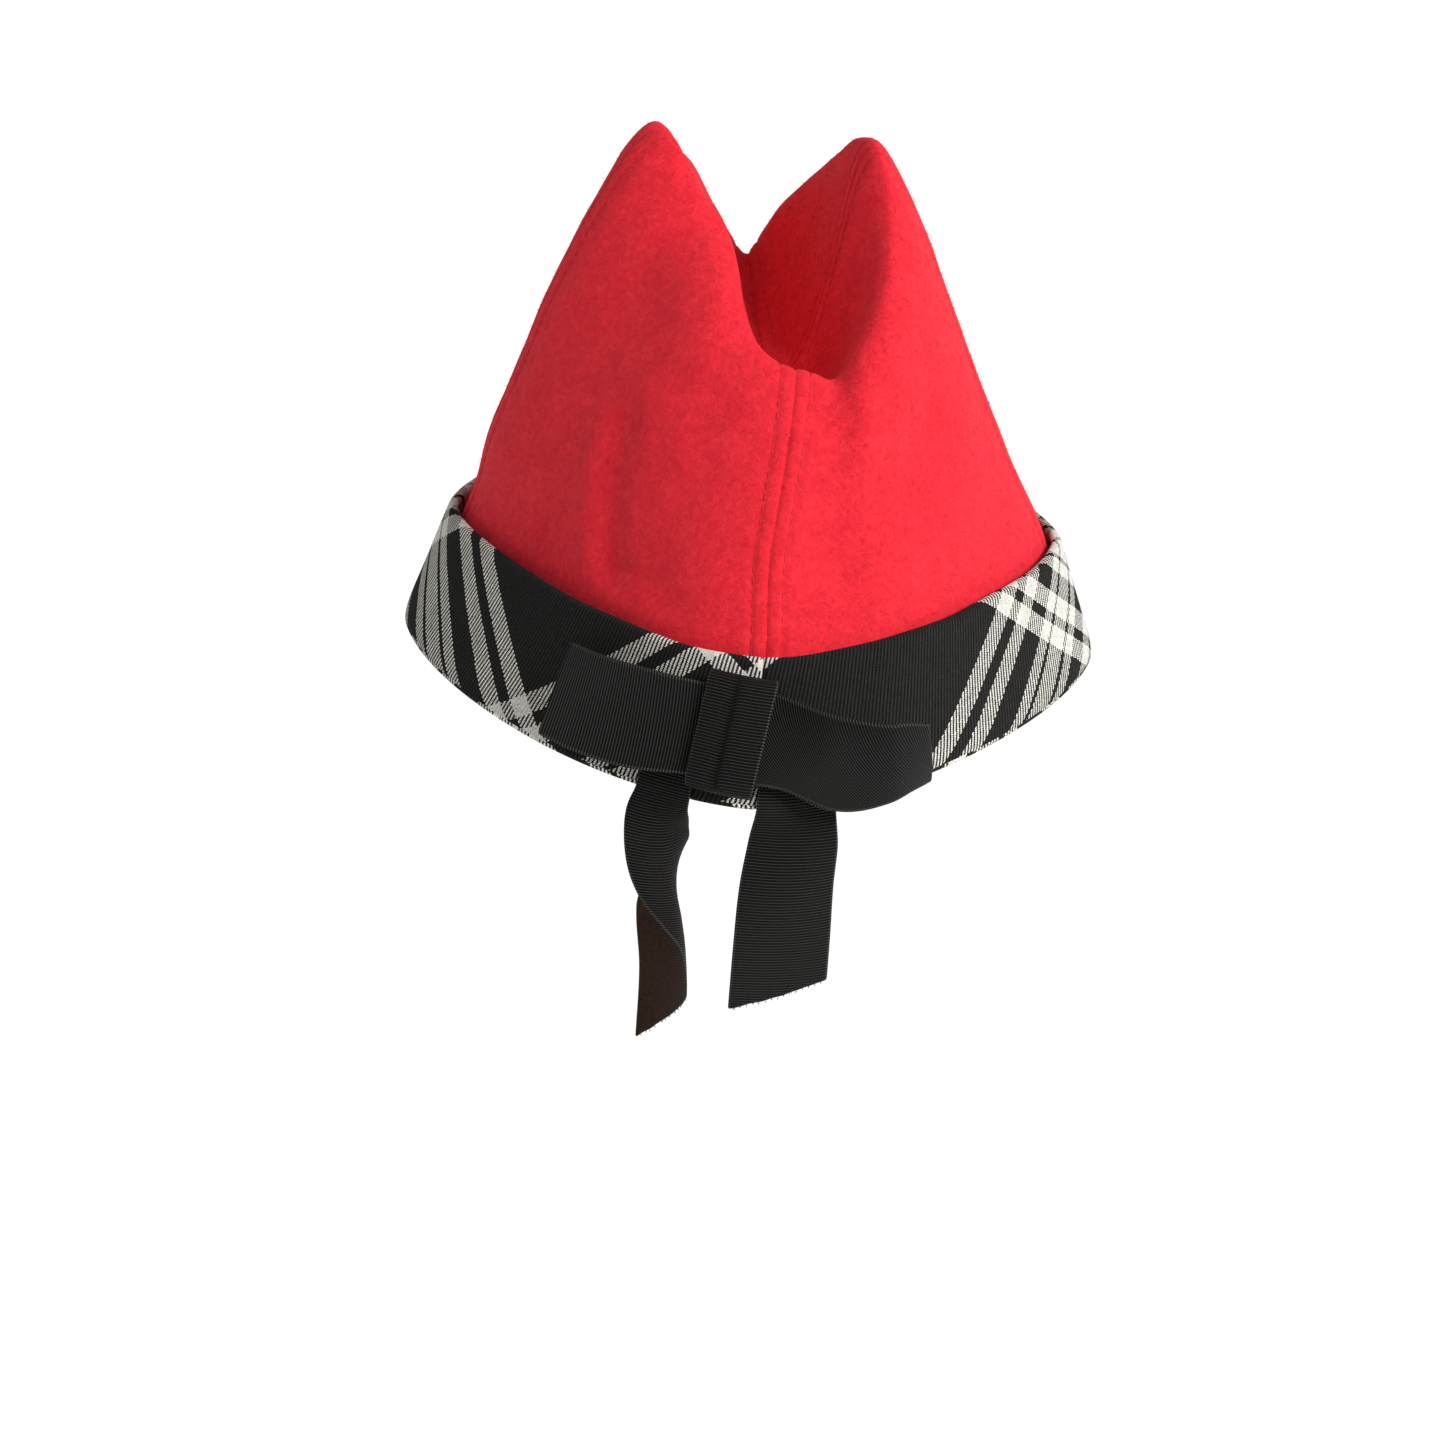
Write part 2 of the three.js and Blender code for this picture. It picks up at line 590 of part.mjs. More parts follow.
// One tail: flat on the cuff behind the loop, then hanging free from the cuff's lower edge
function bowTail( rows, length, cut ) {

	const strands = [];
	for ( let k = 0; k <= tailColumns; k ++ ) {

		const share = k / tailColumns - 0.5;
		const strand = [];
		for ( let row = 0; row <= tailSteps; row ++ ) {

			const along = row / tailSteps * ( 1 - ( Math.abs( cut ) / 2 - cut * share ) / length );
			const read = ( key ) => readTable( rows, 'along', along, key );
			const turn = read( 'turn' ) * degrees;
			const cup = Math.max( read( 'cup' ), 1 ) * degrees;
			const radius = ribbonWidth * read( 'gather' ) / cup;
			const across = radius * Math.sin( cup * share );
			const depth = radius * ( Math.cos( cup * share ) - 1 );
			const sideways = across * Math.cos( turn ) + depth * Math.sin( turn );
			const outward = depth * Math.cos( turn ) - across * Math.sin( turn ) + tailLayer + read( 'out' );
			const height = bowHeight - along * length;
			const laid = cuffFrame( read( 'side' ) + sideways, Math.max( height, cuffLipThickness ) );
			const hung = cuffFrame( read( 'side' ), cuffLipThickness ).origin;
			hung.x += sideways;
			hung.y -= outward;
			const point = laid.origin.addScaledVector( laid.out, outward );
			point.lerp( hung, smooth( ( cuffLipThickness - height ) / tailBlend ) );
			point.z += Math.min( height - cuffLipThickness, 0 );
			strand.push( point );

		}

		strands.push( strand );

	}

	return ribbonSolid( strands.reverse() );

}

const wool = new THREE.MeshStandardMaterial( { color: 0xd8202c, roughness: 0.95, metalness: 0 } );
const tartan = new THREE.MeshStandardMaterial( { color: 0x35332f, roughness: 0.92, metalness: 0 } );
const grosgrain = new THREE.MeshStandardMaterial( { color: 0x171614, roughness: 0.7, metalness: 0 } );

function piece( name, geometry, material ) {

	const mesh = new THREE.Mesh( geometry, material );
	mesh.name = name;
	return mesh;

}

const crown = new THREE.Group();
crown.add(
	piece( 'crown_panel_bow_right', crownPanel( seamAzimuths.bow, seamAzimuths.right + 360 ), wool ),
	piece( 'crown_panel_far_right', crownPanel( seamAzimuths.right, seamAzimuths.back ), wool ),
	piece( 'crown_panel_far_left', crownPanel( seamAzimuths.back, seamAzimuths.left ), wool ),
	piece( 'crown_panel_bow_left', crownPanel( seamAzimuths.left, seamAzimuths.bow ), wool )
);

const bow = new THREE.Group();
bow.add(
	piece( 'bow_loop_left', bowLoop( leftLoopRows, leftLoopReach, - 1 ), grosgrain ),
	piece( 'bow_loop_right', bowLoop( rightLoopRows, rightLoopReach, 1 ), grosgrain ),
	piece( 'bow_knot', bowKnot(), grosgrain ),
	piece( 'bow_tail_left', bowTail( leftTailRows, leftTailLength, leftTailCut ), grosgrain ),
	piece( 'bow_tail_right', bowTail( rightTailRows, rightTailLength, - rightTailCut ), grosgrain )
);

const hat = new THREE.Group();
hat.add( crown, piece( 'cuff', cuffRing(), tartan ), bow );

export default hat;
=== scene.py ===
import math
import random
from functools import lru_cache

import bpy
from mathutils import Matrix, Vector, noise


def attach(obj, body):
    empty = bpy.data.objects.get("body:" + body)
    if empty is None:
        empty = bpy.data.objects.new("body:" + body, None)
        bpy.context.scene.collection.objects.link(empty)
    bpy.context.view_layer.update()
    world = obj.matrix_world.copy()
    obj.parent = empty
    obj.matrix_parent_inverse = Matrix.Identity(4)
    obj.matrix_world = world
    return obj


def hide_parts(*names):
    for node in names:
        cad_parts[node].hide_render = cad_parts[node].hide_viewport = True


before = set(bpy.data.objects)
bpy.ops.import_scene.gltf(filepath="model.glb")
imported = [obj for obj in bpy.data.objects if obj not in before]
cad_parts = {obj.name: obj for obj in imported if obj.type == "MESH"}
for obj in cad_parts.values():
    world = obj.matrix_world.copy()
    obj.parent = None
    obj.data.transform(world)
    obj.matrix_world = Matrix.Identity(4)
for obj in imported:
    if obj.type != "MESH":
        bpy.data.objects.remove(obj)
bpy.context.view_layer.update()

MM = 0.001

# Head opening, crown and cuff, in millimetres, on the same forms as the frame's solids
HEAD_WIDTH = 176
HEAD_DEPTH = 191
HEAD_POINTING = 0.109
POINT_ROUNDING = 0.15
WOOL_THICKNESS = 2
PEAK_HEIGHT = 141
SADDLE_HEIGHT = 95
PIT_SIDE = 1.5
PIT_DEPTH = -23
PIT_HEIGHT = 81.5
PEAK_REACH = 28
SADDLE_REACH = 36
SIDE_BULGE = 1.5
END_BULGE = 4
PANEL_FLATTENING = 5
SIDE_SETTLE = -2
SETTLE_RISE = 22
TOP_SHIFT = -4.3
TOP_SKEW = 0.31
TOP_SKEW_ROUNDING = 15
SEAM_MEET_RADIUS = 0.05
CUFF_HEIGHT = 34.5
CUFF_THICKNESS = 3
CUFF_LIP = 2.4
CUFF_LOWER_GAP = 0.5
CUFF_UPPER_GAP = 1.6
FIT_GAP = 0.3
CROWN_BASE = CUFF_LIP + FIT_GAP

# Ribbon, bow and tails
RIBBON_WIDTH = 25
RIBBON_THICKNESS = 1
RIBBON_BODY = 0.6
BOW_AZIMUTH = -91.2
BOW_HEIGHT = 17
LEFT_LOOP_REACH = 43
RIGHT_LOOP_REACH = 45.5
LEFT_LOOP_LENGTH = 97
RIGHT_LOOP_LENGTH = 101
LOOP_START = 0.6
KNOT_WIDTH = 15.5
KNOT_SIDE = -1
KNOT_TILT = 4
KNOT_MARGIN = 0.8
PLEAT_RAISE = 0.8
LEFT_TAIL_LENGTH = 94
RIGHT_TAIL_LENGTH = 71
TAIL_BLEND = 12
LEFT_TAIL_CUT = 26
RIGHT_TAIL_CUT = 7.5

SEAM_RIGHT = 0
SEAM_BACK = 90
SEAM_LEFT = 180
SEAM_BOW = 273
CROWN_SEAMS = (SEAM_RIGHT, SEAM_BACK, SEAM_LEFT, SEAM_BOW, SEAM_RIGHT + 360)


def table(names, *rows):
    """Rows of numbers under named columns, kept as one tuple for each column."""
    return dict(zip(names.split(), zip(*rows)))


# The crown's top edge, read round the hat: its reach and height, and how its two sides roll
CREST = table(
    "azimuth reach rise roll shoulder floor sink",
    (0, 1.04, 0.98, 9, 8.6, 0.68, 85),
    (12, 1.02, 0.975, 10, 8.6, 0.74, 86),
    (27, 0.97, 0.91, 10, 8.2, 0.8, 87),
    (45, 0.95, 0.75, 10, 7.6, 0.88, 88),
    (62, 0.97, 0.56, 10, 7, 0.9, 88),
    (77, 1.01, 0.34, 10, 6, 0.92, 88),
    (84, 1.01, 0.17, 10, 5, 0.92, 88),
    (91, 1.02, 0.02, 10, 4.5, 0.92, 88),
    (98, 1.01, 0.14, 10, 5, 0.9, 88),
    (105, 1, 0.3, 10, 6, 0.85, 87),
    (120, 0.95, 0.6, 10, 7.6, 0.76, 86),
    (138, 0.95, 0.79, 10, 8.4, 0.66, 85),
    (155, 0.96, 0.93, 11, 9.5, 0.6, 85),
    (168, 0.95, 1, 12.5, 10.5, 0.6, 85),
    (180, 0.92, 1.005, 13.5, 11, 0.65, 85),
    (188, 0.85, 0.945, 14, 10, 0.7, 85),
    (196, 0.76, 0.79, 15.5, 8.4, 0.78, 85),
    (208, 0.59, 0.65, 19.5, 7.8, 0.84, 84),
    (220, 0.5, 0.57, 23, 7.6, 0.86, 84),
    (236, 0.53, 0.475, 23.5, 7.2, 0.86, 84),
    (246, 0.64, 0.37, 21, 6.8, 0.88, 83),
    (253, 0.82, 0.2, 15.5, 6, 0.9, 83),
    (259, 1, 0.05, 11, 5, 0.9, 82),
    (268, 1.06, -0.03, 9, 4.6, 0.92, 82),
    (280, 1.08, -0.07, 10, 4.2, 0.92, 81),
    (288, 1.15, -0.1, 10, 4, 0.92, 81),
    (295, 1.18, 0.03, 10, 5, 0.88, 81),
    (304, 1.18, 0.17, 10, 6, 0.8, 82),
    (315, 1.17, 0.35, 10, 6.8, 0.74, 82),
    (335, 1.12, 0.68, 10, 8, 0.68, 84),
    (348, 1.06, 0.91, 9.5, 8.5, 0.66, 85),
)

# Wide shallow dents of the crown's wall
WALL_DENTS = table(
    "azimuth height width tall depth",
    (246, 0.1, 11, 0.45, -1.4),
    (304, 0.62, 12, 0.22, -1.8),
    (318, 0.42, 12, 0.3, -1.6),
    (285, 0.2, 14, 0.35, -1.0),
    (60, 0.3, 14, 0.4, -1.8),
    (128, 0.25, 12, 0.4, -1.6),
)

# Soft creases of the crown's wall, each from one place on it to another
CREASES = table(
    "from_azimuth from_travel to_azimuth to_travel width depth",
    (228, 0.5, 240, 0.2, 4.6, -1.4),
    (219, 0.46, 230, 0.26, 4.6, 0.8),
    (213, 0.28, 219, 0.22, 2.6, -1.0),
    (212, 0.7, 249, 0.6, 7, -0.5),
    (282, 0.77, 304, 0.69, 4, -1.2),
    (287, 0.48, 325, 0.52, 8, -2),
    (290, 0.28, 328, 0.36, 9, 1.1),
    (40, 0.3, 66, 0.55, 6, -1.1),
    (140, 0.5, 118, 0.28, 6, -1.2),
)

# How each loop's ribbon lies, from the knot out to its fold
LEFT_LOOP = table(
    "along width puff rise standoff lean slant",
    (0, 0.93, 0.4, 0, 0, 0, 0),
    (0.24, 0.94, 0.4, 0, 0, 0, 0),
    (0.5, 1, 2.4, -1.2, 1.1, -5, 2.5),
    (0.8, 1, 1.8, -1.8, 3.8, -16, 6),
    (1, 1, 0.8, -1.6, 5.4, -24, 8.5),
)

RIGHT_LOOP = table(
    "along width puff rise standoff lean slant",
    (0, 0.93, 0.4, 0, 0, 0, 0),
    (0.22, 0.94, 0.4, -1.2, 0.2, 0, 0),
    (0.42, 1, 4.2, -7.2, 4.8, 16, -0.5),
    (0.7, 1, 4.6, -9.2, 8.8, 34, -5),
    (0.86, 1, 3.6, -8.6, 10, 41, -8),
    (1, 1, 1.2, -8.8, 11, 46, -9.5),
)

# How each tail hangs, from the knot down to its cut
LEFT_TAIL = table(
    "along side out turn cup gather",
    (0, -16, 0, 0, 0, 0.55),
    (0.17, -18, 0.2, 0, 0, 0.6),
    (0.22, -19.2, 1.1, 3, 12, 0.64),
    (0.28, -18.9, 1.6, 20, 42, 0.7),
    (0.35, -16.4, 1.5, 40, 90, 0.85),
    (0.43, -13.8, 0, 76, 140, 0.98),
    (0.51, -12.6, -2, 112, 160, 1),
    (0.59, -12.9, -4, 124, 100, 1),
    (0.76, -13.3, -3, 122, 50, 1),
    (1, -13.4, -3, 120, 60, 1),
)

RIGHT_TAIL = table(
    "along side out turn cup gather",
    (0, 14.5, 0, 0, 0, 0.76),
    (0.2, 16, 0, 0, 0, 0.8),
    (0.35, 15.8, 0.8, 4, 16, 0.9),
    (0.51, 15, 3.4, 10, 30, 0.97),
    (0.73, 14.6, 4.4, 12, 18, 1),
    (1, 14.2, 4.2, 10, 10, 1),
)

# How far the knot's cloth stands up across its width, in pleats
KNOT_PLEATS = table(
    "across raise",
    (-1, 0),
    (-0.5, 0.12),
    (-0.06, 0),
    (0.02, 1),
    (0.5, 1.1),
    (1, 0.9),
)


def lerp(a, b, t):
    return a + (b - a) * t


def clamp(x, low, high):
    return max(low, min(high, x))


def smooth(x):
    x = clamp(x, 0, 1)
    return x * x * (3 - 2 * x)


def read(columns, key, at, value, turn=0):
    """A smooth curve through one column. A closed table comes round again after one turn."""
    places = columns[key]
    levels = columns[value]
    count = len(places)

    def place(i):
        if turn:
            return places[i % count] + turn * (i // count)
        return places[clamp(i, 0, count - 1)]

    def level(i):
        return levels[i % count if turn else clamp(i, 0, count - 1)]

    x = at % turn if turn else clamp(at, places[0], places[-1])
    i = 0
    while i < (count - 1 if turn else count - 2) and x > place(i + 1):
        i += 1

    def slope(j):
        return (level(j + 1) - level(j - 1)) / (place(j + 1) - place(j - 1))

    span = place(i + 1) - place(i)
    s = (x - place(i)) / span
    bend = slope(i) * s * (1 - s) ** 2 - slope(i + 1) * s * s * (1 - s)
    return level(i) * (1 + 2 * s) * (1 - s) ** 2 + level(i + 1) * s * s * (3 - 2 * s) + span * bend


def sine(azimuth):
    return math.sin(math.radians(azimuth))


def cosine(azimuth):
    return math.cos(math.radians(azimuth))


def oval_radius(half_width, half_depth, azimuth):
    return 1 / math.hypot(cosine(azimuth) / half_width, sine(azimuth) / half_depth)


def on_azimuth(azimuth, reach, height):
    return Vector((cosine(azimuth) * reach, sine(azimuth) * reach, height))


def run_lengths(points):
    """How far along a line of points each one lies."""
    runs = [0]
    for a, b in zip(points, points[1:]):
        runs.append(runs[-1] + (b - a).length)
    return runs


# The crown

def panel_share(azimuth):
    """0 on a crown seam and 1 in the middle of a panel."""
    at = azimuth % 360
    panel = next(i for i in range(4) if at < CROWN_SEAMS[i + 1])
    share = (at - CROWN_SEAMS[panel]) / (CROWN_SEAMS[panel + 1] - CROWN_SEAMS[panel])
    soft = math.hypot(math.sin(math.pi * share), POINT_ROUNDING) - POINT_ROUNDING
    return soft / (math.hypot(1, POINT_ROUNDING) - POINT_ROUNDING)


def head_radius(extra, azimuth):
    pointed = 1 - HEAD_POINTING * panel_share(azimuth)
    return oval_radius(HEAD_WIDTH / 2, HEAD_DEPTH / 2, azimuth) * pointed + extra


def crest_value(azimuth, column):
    return read(CREST, "azimuth", azimuth, column, 360)


@lru_cache(maxsize=None)
def crest_at(azimuth):
    """The crest's reach and height."""
    reach = oval_radius(PEAK_REACH, SADDLE_REACH, azimuth) * crest_value(azimuth, "reach")
    return reach, lerp(SADDLE_HEIGHT, PEAK_HEIGHT, crest_value(azimuth, "rise"))


@lru_cache(maxsize=None)
def wall_arc(azimuth):
    base = (head_radius(WOOL_THICKNESS, azimuth), CROWN_BASE)
    crest = crest_at(azimuth)
    bulge = lerp(SIDE_BULGE, END_BULGE, sine(azimuth) ** 2)
    bulge -= PANEL_FLATTENING * panel_share(azimuth)
    lower = (lerp(base[0], crest[0], 1 / 3) + bulge, lerp(base[1], crest[1], 1 / 3))
    return base, lower, (crest[0] + crest_value(azimuth, "roll"), crest[1]), crest


def arc_point(arc, t):
    s = 1 - t
    shares = (s ** 3, 3 * s * s * t, 3 * s * t * t, t ** 3)
    axes = range(len(arc[0]))
    return tuple(sum(share * corner[i] for share, corner in zip(shares, arc)) for i in axes)


def dent_depth(azimuth, height, crest_height):
    up = (height - CUFF_HEIGHT) / (crest_height - CUFF_HEIGHT)
    if up <= 0:
        return 0
    depth = 0
    for dent in zip(*WALL_DENTS.values()):
        turn = (azimuth - dent[0] + 180) % 360 - 180
        depth += dent[4] * math.exp(-(turn / dent[2]) ** 2 - ((up - dent[1]) / dent[3]) ** 2)
    return depth * smooth(up / 0.12) * smooth((1 - up) / 0.3)


def place_in_crown(azimuth, reach, height):
    """A distance and height in the azimuth's plane, with the soft top shifted and skewed."""
    point = Vector((cosine(azimuth) * reach, sine(azimuth) * reach, height))
    share = clamp((height - CUFF_HEIGHT) / (SADDLE_HEIGHT - CUFF_HEIGHT), 0, 1)
    top = (share + smooth(share)) / 2
    depth = sine(azimuth) * min(reach, crest_at(azimuth)[0])
    point.x += SIDE_SETTLE * smooth((height - CUFF_HEIGHT) / SETTLE_RISE)
    point.x += top * (TOP_SHIFT + TOP_SKEW * (math.hypot(depth, TOP_SKEW_ROUNDING) - depth) / 2)
    return point


@lru_cache(maxsize=None)
def pit_arc(azimuth):
    """From the crest over its shoulder, down to the pit's floor and on to where the seams meet."""
    reach, height = crest_at(azimuth)
    crest = place_in_crown(azimuth, reach, height)
    inward = place_in_crown(azimuth, reach - crest_value(azimuth, "shoulder"), height)
    meeting = Vector((PIT_SIDE, PIT_DEPTH, PIT_HEIGHT)) + on_azimuth(azimuth, SEAM_MEET_RADIUS, 0)
    floor = meeting.lerp(crest, crest_value(azimuth, "floor"))
    floor.z = crest_value(azimuth, "sink")
    return crest, inward, floor, meeting


def crown_surface(azimuth, travel):
    """The crown's outer surface: travel is 0 at the lower edge, 1 at the crest and 2 in the pit."""
    if travel > 1:
        return Vector(arc_point(pit_arc(azimuth), travel - 1))
    reach, height = arc_point(wall_arc(azimuth), travel)
    dent = dent_depth(azimuth, height, crest_at(azimuth)[1])
    return place_in_crown(azimuth, reach + dent, height)


def wall_reach(azimuth, height):
    arc = wall_arc(azimuth)
    low, high = 0, 1
    for _ in range(22):
        middle = (low + high) / 2
        if arc_point(arc, middle)[1] < height:
            low = middle
        else:
            high = middle
    return arc_point(arc, low)[0]


# Meshes, in metres, with their UV maps in metres too

def lay_mesh(name, points, faces, uvs=None):
    """A new piece from points in millimetres, with a UV pair for each corner of each face."""
    mesh = bpy.data.meshes.new(name)
    mesh.from_pydata([tuple(c * MM for c in p) for p in points], [], faces)
    if uvs:
        layer = mesh.uv_layers.new(name="cloth")
        for loop, uv in zip(layer.data, uvs):
            loop.uv = (uv[0] * MM, uv[1] * MM)
    mesh.validate()
    piece = bpy.data.objects.new(name, mesh)
    bpy.context.scene.collection.objects.link(piece)
    mesh.shade_smooth()
    return piece


def only_none():
    bpy.ops.object.select_all(action="DESELECT")


def only(piece):
    only_none()
    bpy.context.view_layer.objects.active = piece
    piece.select_set(True)


def apply_modifiers(piece):
    only(piece)
    for modifier in list(piece.modifiers):
        bpy.ops.object.modifier_apply(modifier=modifier.name)
    piece.data.shade_smooth()


def thicken(piece, thickness, offset, reverse_slot=0):
    solid = piece.modifiers.new("wall", "SOLIDIFY")
    solid.thickness = thickness * MM
    solid.offset = offset
    solid.use_even_offset = False
    solid.material_offset = reverse_slot


def soften(piece, levels):
    rounding = piece.modifiers.new("softening", "SUBSURF")
    rounding.levels = levels
    rounding.render_levels = levels


def grid_faces(rows, columns):
    return [
        (r * columns + c, r * columns + c + 1, (r + 1) * columns + c + 1, (r + 1) * columns + c)
        for r in range(rows - 1)
        for c in range(columns - 1)
    ]


# The red crown, one piece for each panel

SEAM_STEPS = (0, 0.25, 0.5, 0.9, 1.4, 2, 2.6, 3.1, 3.5, 3.9, 4.4, 5, 6, 7.4, 9)
PANEL_STEP = 1.8
PANEL_HALF = 70
WALL_ROWS = 104
PIT_ROWS = 56
STITCH_INSET = 4
STITCH_PITCH = 3
stitch_lines = []

# The wool's forms beside a seam: rolled in at it, swelling, and sunk under the stitches
SEAM_FORMS = table(
    "from_seam width height",
    (0, 0.6, -0.4),
    (2.2, 1.1, 0.12),
    (STITCH_INSET, 0.6, -0.34),
)


def column_shares():
    """Places across a panel, close together beside its two seams."""
    inner = int((PANEL_HALF - SEAM_STEPS[-1]) / PANEL_STEP)
    half = list(SEAM_STEPS) + [
        lerp(SEAM_STEPS[-1], PANEL_HALF, (i + 1) / (inner + 1)) for i in range(inner + 1)
    ]
    left = [x / PANEL_HALF / 2 for x in half]
    return left + [1 - x for x in reversed(left[:-1])]


def panel_row(start, end, travel):
    return [crown_surface(lerp(start, end, share), travel) for share in column_shares()]


def seam_profile(from_seam, row_width):
    """How far the wool stands up or sinks at a distance from its seam."""
    height = 0
    for middle, width, most in zip(*SEAM_FORMS.values()):
        height += most * math.exp(-(((from_seam - middle) / width) ** 2))
    return height * smooth(row_width / 20)


def soft_unevenness(point):
    """A felted wall is never quite smooth: slow rises and falls under half a millimetre."""
    return 0.4 * noise.noise(point / 22) + 0.16 * noise.noise(point / 8)


CREASE_STEPS = 4


@lru_cache(maxsize=None)
def crease_lines():
    """Each crease as points on the wall, with its middle, its reach, its width and its depth."""
    lines = []
    for azimuth, travel, to_azimuth, to_travel, width, depth in zip(*CREASES.values()):
        shares = [i / CREASE_STEPS for i in range(CREASE_STEPS + 1)]
        line = [
            crown_surface(lerp(azimuth, to_azimuth, share), lerp(travel, to_travel, share))
            for share in shares
        ]
        middle = line[CREASE_STEPS // 2]
        lines.append((line, middle, (line[0] - line[-1]).length / 2 + 3 * width, width, depth))
    return lines


def crease_depth(point):
    depth = 0
    for line, middle, reach, width, most in crease_lines():
        if (point - middle).length > reach:
            continue
        nearest = reach
        for a, b in zip(line, line[1:]):
            share = clamp((point - a).dot(b - a) / (b - a).length_squared, 0, 1)
            nearest = min(nearest, (point - a.lerp(b, share)).length)
        depth += most * math.exp(-((nearest / width) ** 2))
    return depth


def crown_panel(name, start, end):
    travels = [i / WALL_ROWS for i in range(WALL_ROWS)]
    travels += [1 + i / PIT_ROWS for i in range(PIT_ROWS + 1)]
    rows = [panel_row(start, end, travel) for travel in travels]
    columns = len(rows[0])
    points = [p for row in rows for p in row]
    piece = lay_mesh(name, points, grid_faces(len(rows), columns))
    normals = [n.vector.copy() for n in piece.data.vertex_normals]
    for r, row in enumerate(rows):
        width = sum((b - a).length for a, b in zip(row, row[1:]))
        for c, point in enumerate(row):
            from_seam = min((point - row[0]).length, (point - row[-1]).length)
            free = smooth((point.z - CUFF_HEIGHT - 2) / 8)
            move = seam_profile(from_seam, width)
            move += (soft_unevenness(point) + crease_depth(point)) * free * smooth(width / 30)
            spot = r * columns + c
            piece.data.vertices[spot].co += normals[spot] * move * MM
    places = [vertex.co / MM for vertex in piece.data.vertices]
    outside = [places[r * columns:(r + 1) * columns] for r in range(len(rows))]
    stitch_lines.append(inset_line(outside))
    stitch_lines.append(inset_line([row[::-1] for row in outside]))
    raise_fuzz(outside, name)
    thicken(piece, WOOL_THICKNESS, -1)
    apply_modifiers(piece)
    return piece


def inset_line(rows):
    """A line at the stitches' distance from a seam, with a place further in at each step."""
    line = []
    for row in rows:
        width = (row[-1] - row[0]).length
        if row[0].z < CUFF_HEIGHT - 6 and len(line) == 0:
            continue
        if width < 4 * STITCH_INSET:
            break
        run = 0
        for a, b in zip(row, row[1:]):
            step = (b - a).length
            if run + step >= STITCH_INSET:
                line.append((a.lerp(b, (STITCH_INSET - run) / step), (b - a).normalized()))
                break
            run += step
    return line


def along_line(line, pitch):
    """Places at one pitch along a line, as (place, direction, sideways)."""
    places = []
    spare = pitch / 2
    for (a, side), (b, _) in zip(line, line[1:]):
        step = (b - a).length
        while spare <= step:
            places.append((a.lerp(b, spare / step), (b - a).normalized(), side))
            spare += pitch
        spare -= step
    return places


def lay_copies(name, pattern, frames):
    """Copies of one small piece, at each place with its length, width and height directions."""
    corners = [v.co.copy() for v in pattern.data.vertices]
    sides = [tuple(face.vertices) for face in pattern.data.polygons]
    bpy.data.objects.remove(pattern)
    points = []
    faces = []
    for place, long, wide, high in frames:
        first = len(points)
        points += [place + long * c.x + wide * c.y + high * c.z for c in corners]
        faces += [tuple(first + i for i in side) for side in sides]
    return lay_mesh(name, points, faces)


FUZZ_COUNT = 3000
FIBRE_SHORTEST = 0.5
FIBRE_LONGEST = 1.5
loose_fibres = []


def raise_fuzz(rows, seed):
    """Picks places on the wool where one fine fibre stands a little off it."""
    chance = random.Random(seed)
    cells = [(r, c) for r in range(len(rows) - 1) for c in range(len(rows[0]) - 1)]
    sizes = [(rows[r + 1][c + 1] - rows[r][c]).length_squared for r, c in cells]
    for r, c in chance.choices(cells, sizes, k=FUZZ_COUNT):
        corner = rows[r][c]
        side = rows[r][c + 1] - corner
        ahead = rows[r + 1][c] - corner
        up = side.cross(ahead)
        if up.length_squared < 1e-8 or corner.z < CUFF_HEIGHT - 4:
            continue
        up.normalize()
        flat = side.normalized() * chance.uniform(-1, 1)
        flat = (flat + ahead.normalized() * chance.uniform(-1, 1)).normalized()
        reach = (flat + up * chance.uniform(0.15, 1.1)).normalized()
        reach = reach * chance.uniform(FIBRE_SHORTEST, FIBRE_LONGEST)
        place = corner + side * chance.random() + ahead * chance.random()
        loose_fibres.append((place + reach / 2, reach, reach.cross(up).normalized(), up))


def thread_end(sides, root, tip):
    """A tapering bit of thread one unit long, with its radius at the root and at the tip."""
    only_none()
    along_x = (0, math.pi / 2, 0)
    bpy.ops.mesh.primitive_cone_add(
        vertices=sides, radius1=root, radius2=tip, depth=1, rotation=along_x
    )
    thread = bpy.context.object
    bpy.ops.object.transform_apply(rotation=True)
    return thread


def wool_fuzz(name):
    """One fine fibre, laid all over the crown."""
    return lay_copies(name, thread_end(3, 0.05, 0.02), loose_fibres)


STITCH_LENGTH = 2.1
STITCH_THICKNESS = 0.34


def topstitches(name):
    """One stitch of thread pulled into the wool, laid along both sides of every crown seam."""
    only_none()
    bpy.ops.mesh.primitive_uv_sphere_add(segments=8, ring_count=6, radius=0.5)
    stitch = bpy.context.object
    bpy.ops.object.mode_set(mode="EDIT")
    bpy.ops.transform.resize(value=(STITCH_LENGTH, STITCH_THICKNESS, STITCH_THICKNESS))
    bpy.ops.object.mode_set(mode="OBJECT")
    frames = []
    for number, line in enumerate(stitch_lines):
        turn = 1 if number % 2 else -1
        for place, ahead, side in along_line(line, STITCH_PITCH):
            up = ahead.cross(side).normalized() * turn
            frames.append((place, ahead, up.cross(ahead), up))
    return lay_copies(name, stitch, frames)


# The tartan cuff

CUFF_COLUMNS = 220
CUFF_SEAM_SIDE = 6
CUFF_SEAM_REACH = 97
CUFF_STRETCH = 0.8
BACK_SLACK = 42.3
BACK_CREEP = 5.65
BACK_HALF = 150


def cuff_inner_reach(azimuth, height):
    up = clamp((height - CROWN_BASE) / (CUFF_HEIGHT - CROWN_BASE), 0, 1)
    return wall_reach(azimuth, max(height, CROWN_BASE)) + lerp(CUFF_LOWER_GAP, CUFF_UPPER_GAP, up)


